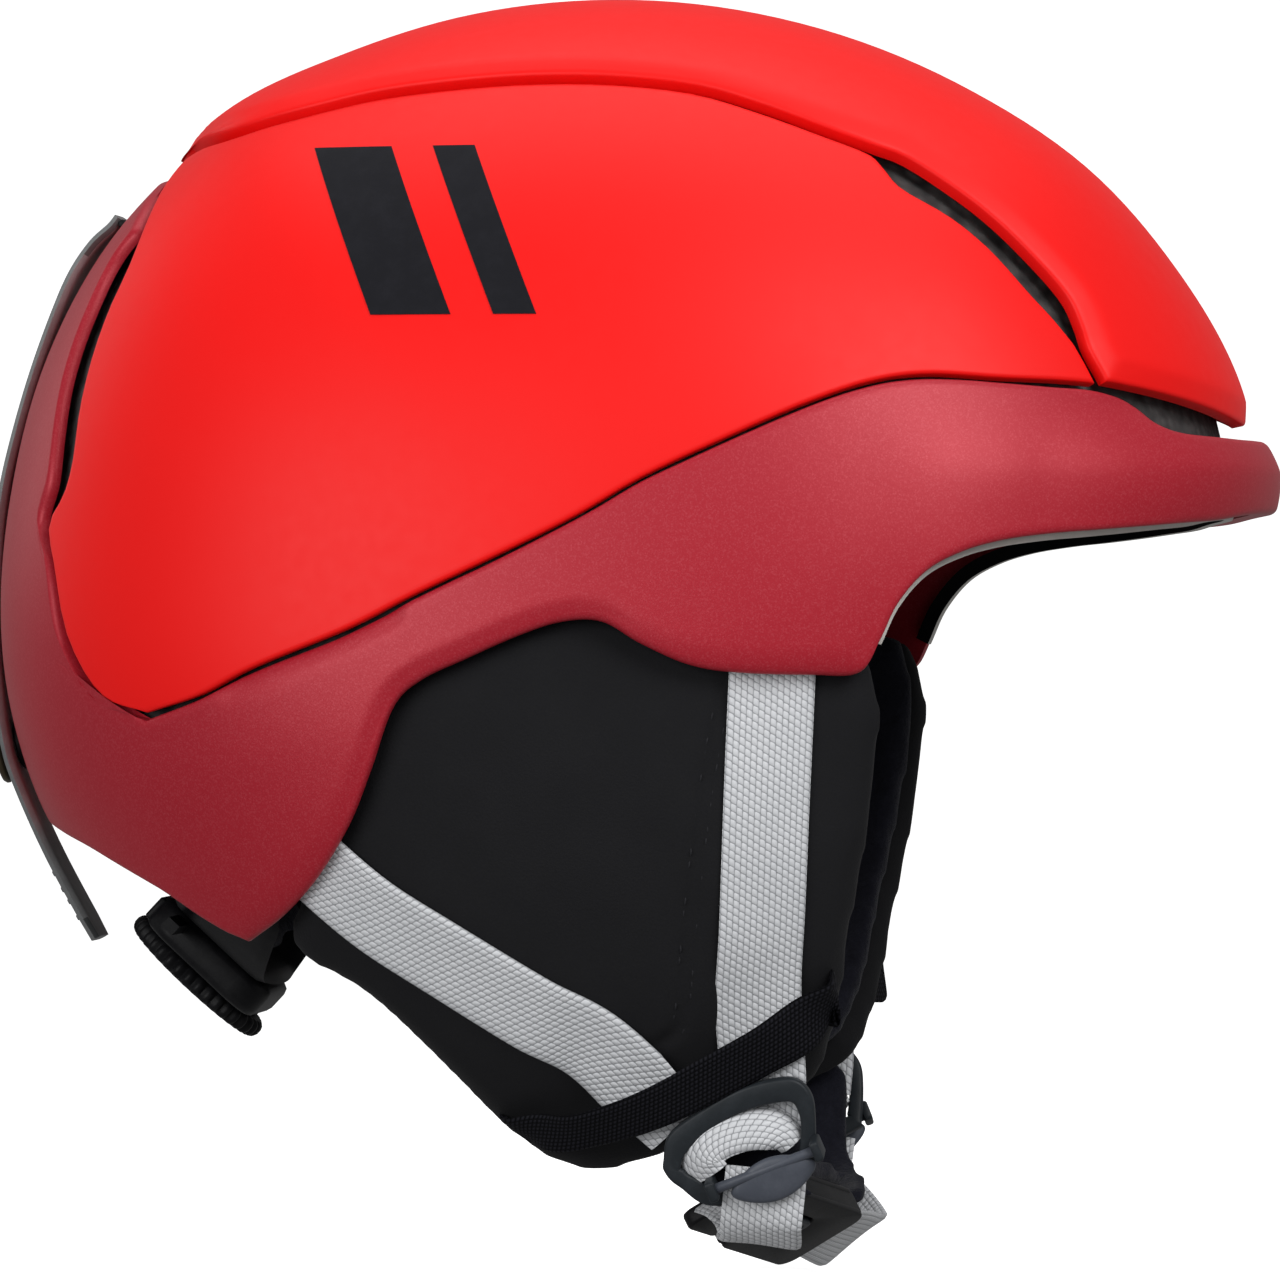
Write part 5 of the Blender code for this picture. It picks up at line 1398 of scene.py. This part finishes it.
DIAL_LOBES, DIAL_FINS = 38, 19
DIAL_PROFILE = [
    (14.6, 0.4, 0.0), (16.9, 0.5, 0.5), (17.7, 1.1, 0.9), (18.0, 1.9, 1.0), (18.0, 3.0, 1.0),
    (17.6, 3.9, 0.9), (16.8, 4.4, 0.6), (15.6, 4.5, 0.1), (14.8, 4.2, 0.0), (14.2, 3.6, 0.0),
    (12.6, 3.3, 0.0), (8.0, 3.1, 0.0), (6.6, 3.3, 0.0), (5.9, 4.1, 0.0), (5.2, 4.4, 0.0),
    (3.6, 4.4, 0.0),
]


def fit_dial():
    """Lobed wheel with a dished face and radial fins. Its profile has radius, height, lobe."""
    count = DIAL_LOBES * 8
    lobe = 0.5 + 0.5 * np.cos(np.arange(count) / count * TURN * DIAL_LOBES)
    ring = circle(count)
    outlines = [ring * (r - depth * (1 - lobe) ** 1.5)[:, None] if depth else ring * r
                for r, _, depth in DIAL_PROFILE]
    wheel = stack(outlines, [height for _, height, _ in DIAL_PROFILE], DIAL)
    look("fit_dial", wheel, BLACK, "black_plastic", "fit_dial", sharp=55)
    fin = rounded_rectangle(8.6, 13.2, -0.45, 0.45, 0.4, 3)
    fins = [pillow_cap(fin, 2.8, 3.8, DIAL @ Matrix.Rotation(TURN * k / DIAL_FINS, 4, "Z"), 0.2)
            for k in range(DIAL_FINS)]
    make("dial_fins", *merged(fins), BLACK, "fit_dial", (), "black_plastic", sharp=50)


GRIPS, GRIP_PITCH = 15, 2.5


def dial_housing():
    """Cover with a raised collar round the dial and a finger-grip lower edge."""
    parts = [pillow_cap(rounded_rectangle(-23.0, 23.0, -15.5, 15.5, 7.5, 10), -7.6, -0.1, DIAL,
                        1.8),
             turned([(15.2, -1.0), (15.0, 0.05), (14.6, 0.25)], DIAL, 72)]
    grip = rounded_rectangle(-0.85, 0.85, -0.5, 1.5, 0.7, 3)
    for k in range(GRIPS):
        spot = DIAL @ Matrix.Translation(((k - GRIPS // 2) * GRIP_PITCH, 14.6, -3.8))
        parts.append(pillow_cap(grip, -2.8, 2.8, spot, 0.5))
    look("dial_housing", merged(parts), BLACK, "black_plastic")


def fit_cradle():
    """Springy yoke that carries the dial, its pad, and the stem up to the liner."""
    places, normals = [], []
    turn = DIAL.to_3x3()
    for u in (-54, -46, -38, -30, -20, 0, 20, 30, 38, 46, 54):
        bend = max(0.0, abs(u) - 26.0) / 28.0
        places.append(np.array(DIAL @ Vector((u, 0.0, -8.9 - 16.0 * bend ** 1.6))))
        slope = math.copysign(25.6 / 28.0 * bend ** 0.6, u)
        normals.append(np.array(turn @ Vector((slope, 0, 1)).normalized()))
    from_middle = np.abs(1 - 2 * steps(120))
    wide = 29.0 - 12.0 * from_middle ** 2
    wide *= np.sqrt(np.clip(1 - np.clip((from_middle - 0.9) / 0.1, 0, 1) ** 2, 0.02, 1))
    yoke = band(places, normals, wide, 2.2, 120, across=16)[:2]
    look("fit_cradle", yoke, BLACK, "black_plastic")
    inner = [p - unit(n) * 3.3 for p, n in zip(places, normals)][1:-1]
    shape = band(inner, normals[1:-1], 23.0 - 9.0 * from_middle ** 2, 2.8, 120, across=12)[:2]
    soft("cradle_pad", shape, FLEECE, "helmet", voxel=3.0, pressure=3.0, cap=0.6)
    stem = [(-99.9, 0, -156.4), (-98.2, 0, -146.0), (-98.0, 0, -134.0), (-101.2, 0, -120.6)]
    shape = band(stem, [(-1, 0, 0)] * 2, 15.0, 1.8, 60, across=10)[:2]
    look("cradle_stem", shape, BLACK, "black_plastic")


# ----------------------------------------------------------------------- graphic mark
MARK_TOP, MARK_HIGH, MARK_LEAN = -0.5, 36.0, 15.0


def side_marks():
    """Two plain slanted bars on each side panel, a generic decoration."""
    for number, x0, width in ((1, -64.0, 17.0), (2, -38.0, 9.0)):
        rows = []
        for v in steps(30):
            z = MARK_TOP - MARK_HIGH * v
            left = x0 + MARK_LEAN * v
            rows.append(side([(left + width * u, z) for u in steps(14)]))
        both("side_bar_%d" % number, *thick(*welded([np.array(rows)]), 0.16, 0.02), MARK,
             slot="red_shell", replaces=False, sharp=30)


def carried_over():
    """CAD nodes whose shape stays get detailed materials."""
    for finish, names in (
            (BLACK, ("front_anchor_right", "front_anchor_left", "rear_anchor_right",
                     "rear_anchor_left", "dial_stem", "dial_pinion", "fit_band_right",
                     "fit_band_left")),
            (STEEL, ("cradle_rivet", "dial_screw"))):
        for name in names:
            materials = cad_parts[name].data.materials
            materials.clear()
            materials.append(finish)


# --------------------------------------------------------------------------- staging
FLOOR = -0.2432
FLOOR_HALF, FLOOR_NEAR, BACKDROP_TOP = 8.0, -6.0, 5.0
SWEEP_AT, SWEEP_RADIUS = 2.2, 1.2
PAPER_GLOW, WORLD_LIGHT = 0.80, 0.24
LIGHT_AIM = Vector((0, 0, -0.10))
LIGHTS = [("key", (1.2, -1.35, 1.15), (1.2, 1.1), 28.0),
          ("fill", (-1.1, -1.9, 0.15), (1.6, 1.4), 28.0),
          ("top", (0.0, 0.15, 1.4), (1.7, 1.2), 10.0),
          ("rear", (-1.5, 0.9, 0.5), (0.9, 1.0), 2.5)]


def studio():
    """Pale floor that sweeps up behind, and soft lights."""
    paper = Paint("pale_paper", (0.86, 0.86, 0.86), 0.9, Specular_IOR_Level=0.1,
                  Emission_Color=(1, 1, 1, 1), Emission_Strength=PAPER_GLOW)
    paper.bump(paper.noise(3.0, 2.0), 0.02)
    profile = [(FLOOR_NEAR, 0.0), (SWEEP_AT, 0.0)]
    for angle in range(10, 91, 10):
        t = math.radians(angle)
        profile.append((SWEEP_AT + SWEEP_RADIUS * math.sin(t),
                        SWEEP_RADIUS - SWEEP_RADIUS * math.cos(t)))
    profile.append((SWEEP_AT + SWEEP_RADIUS, BACKDROP_TOP))
    verts = [(x, y, z + FLOOR) for y, z in profile for x in (-FLOOR_HALF, FLOOR_HALF)]
    faces = [(2 * k, 2 * k + 1, 2 * k + 3, 2 * k + 2) for k in range(len(profile) - 1)]
    mesh = bpy.data.meshes.new("floor")
    mesh.from_pydata(verts, [], faces)
    mesh.shade_smooth()
    mesh.materials.append(paper.material)
    floor = bpy.data.objects.new("floor", mesh)
    bpy.context.scene.collection.objects.link(floor)
    floor.visible_diffuse = floor.visible_glossy = False

    world = bpy.data.worlds.new("studio")
    bpy.context.scene.world = world
    world.use_nodes = True
    background = world.node_tree.nodes["Background"]
    background.inputs["Color"].default_value = (1, 1, 1, 1)
    background.inputs["Strength"].default_value = WORLD_LIGHT
    for name, at, size, power in LIGHTS:
        light = bpy.data.lights.new(name, "AREA")
        light.shape = "RECTANGLE"
        light.size, light.size_y = size
        light.energy = power
        lamp = bpy.data.objects.new(name, light)
        lamp.location = at
        lamp.rotation_mode = "QUATERNION"
        lamp.rotation_quaternion = (LIGHT_AIM - Vector(at)).to_track_quat("-Z", "Y")
        bpy.context.scene.collection.objects.link(lamp)


AZIMUTH, ELEVATION, DISTANCE = math.radians(4.6), 0.0, 2.4
AIM = Vector((0.0, 0.0, -0.104))
FIELD = 0.2759
SENSOR = 36.0


def camera():
    lens = bpy.data.cameras.new("camera")
    lens.sensor_width = SENSOR
    lens.lens = SENSOR * DISTANCE / FIELD
    lens.clip_start, lens.clip_end = 0.05, 50.0
    made = bpy.data.objects.new("camera", lens)
    back = Vector((math.sin(AZIMUTH) * math.cos(ELEVATION),
                   -math.cos(AZIMUTH) * math.cos(ELEVATION), math.sin(ELEVATION)))
    made.location = AIM + back * DISTANCE
    made.rotation_mode = "QUATERNION"
    made.rotation_quaternion = (-back).to_track_quat("-Z", "Y")
    bpy.context.scene.collection.objects.link(made)
    bpy.context.scene.camera = made
    bpy.context.scene.view_settings.view_transform = "Standard"


camera()
studio()
crown_shell()
side_shells()
lower_shell()
brow_trim()
eps_liner()
ear_pads()
comfort_pads()
dividers()
side_straps()
keeper_bands()
near_webbing()
far_webbing()
chin_pad()
strap_pads()
buckle_parts()
goggle_retainer()
fit_dial()
dial_housing()
fit_cradle()
side_marks()
carried_over()
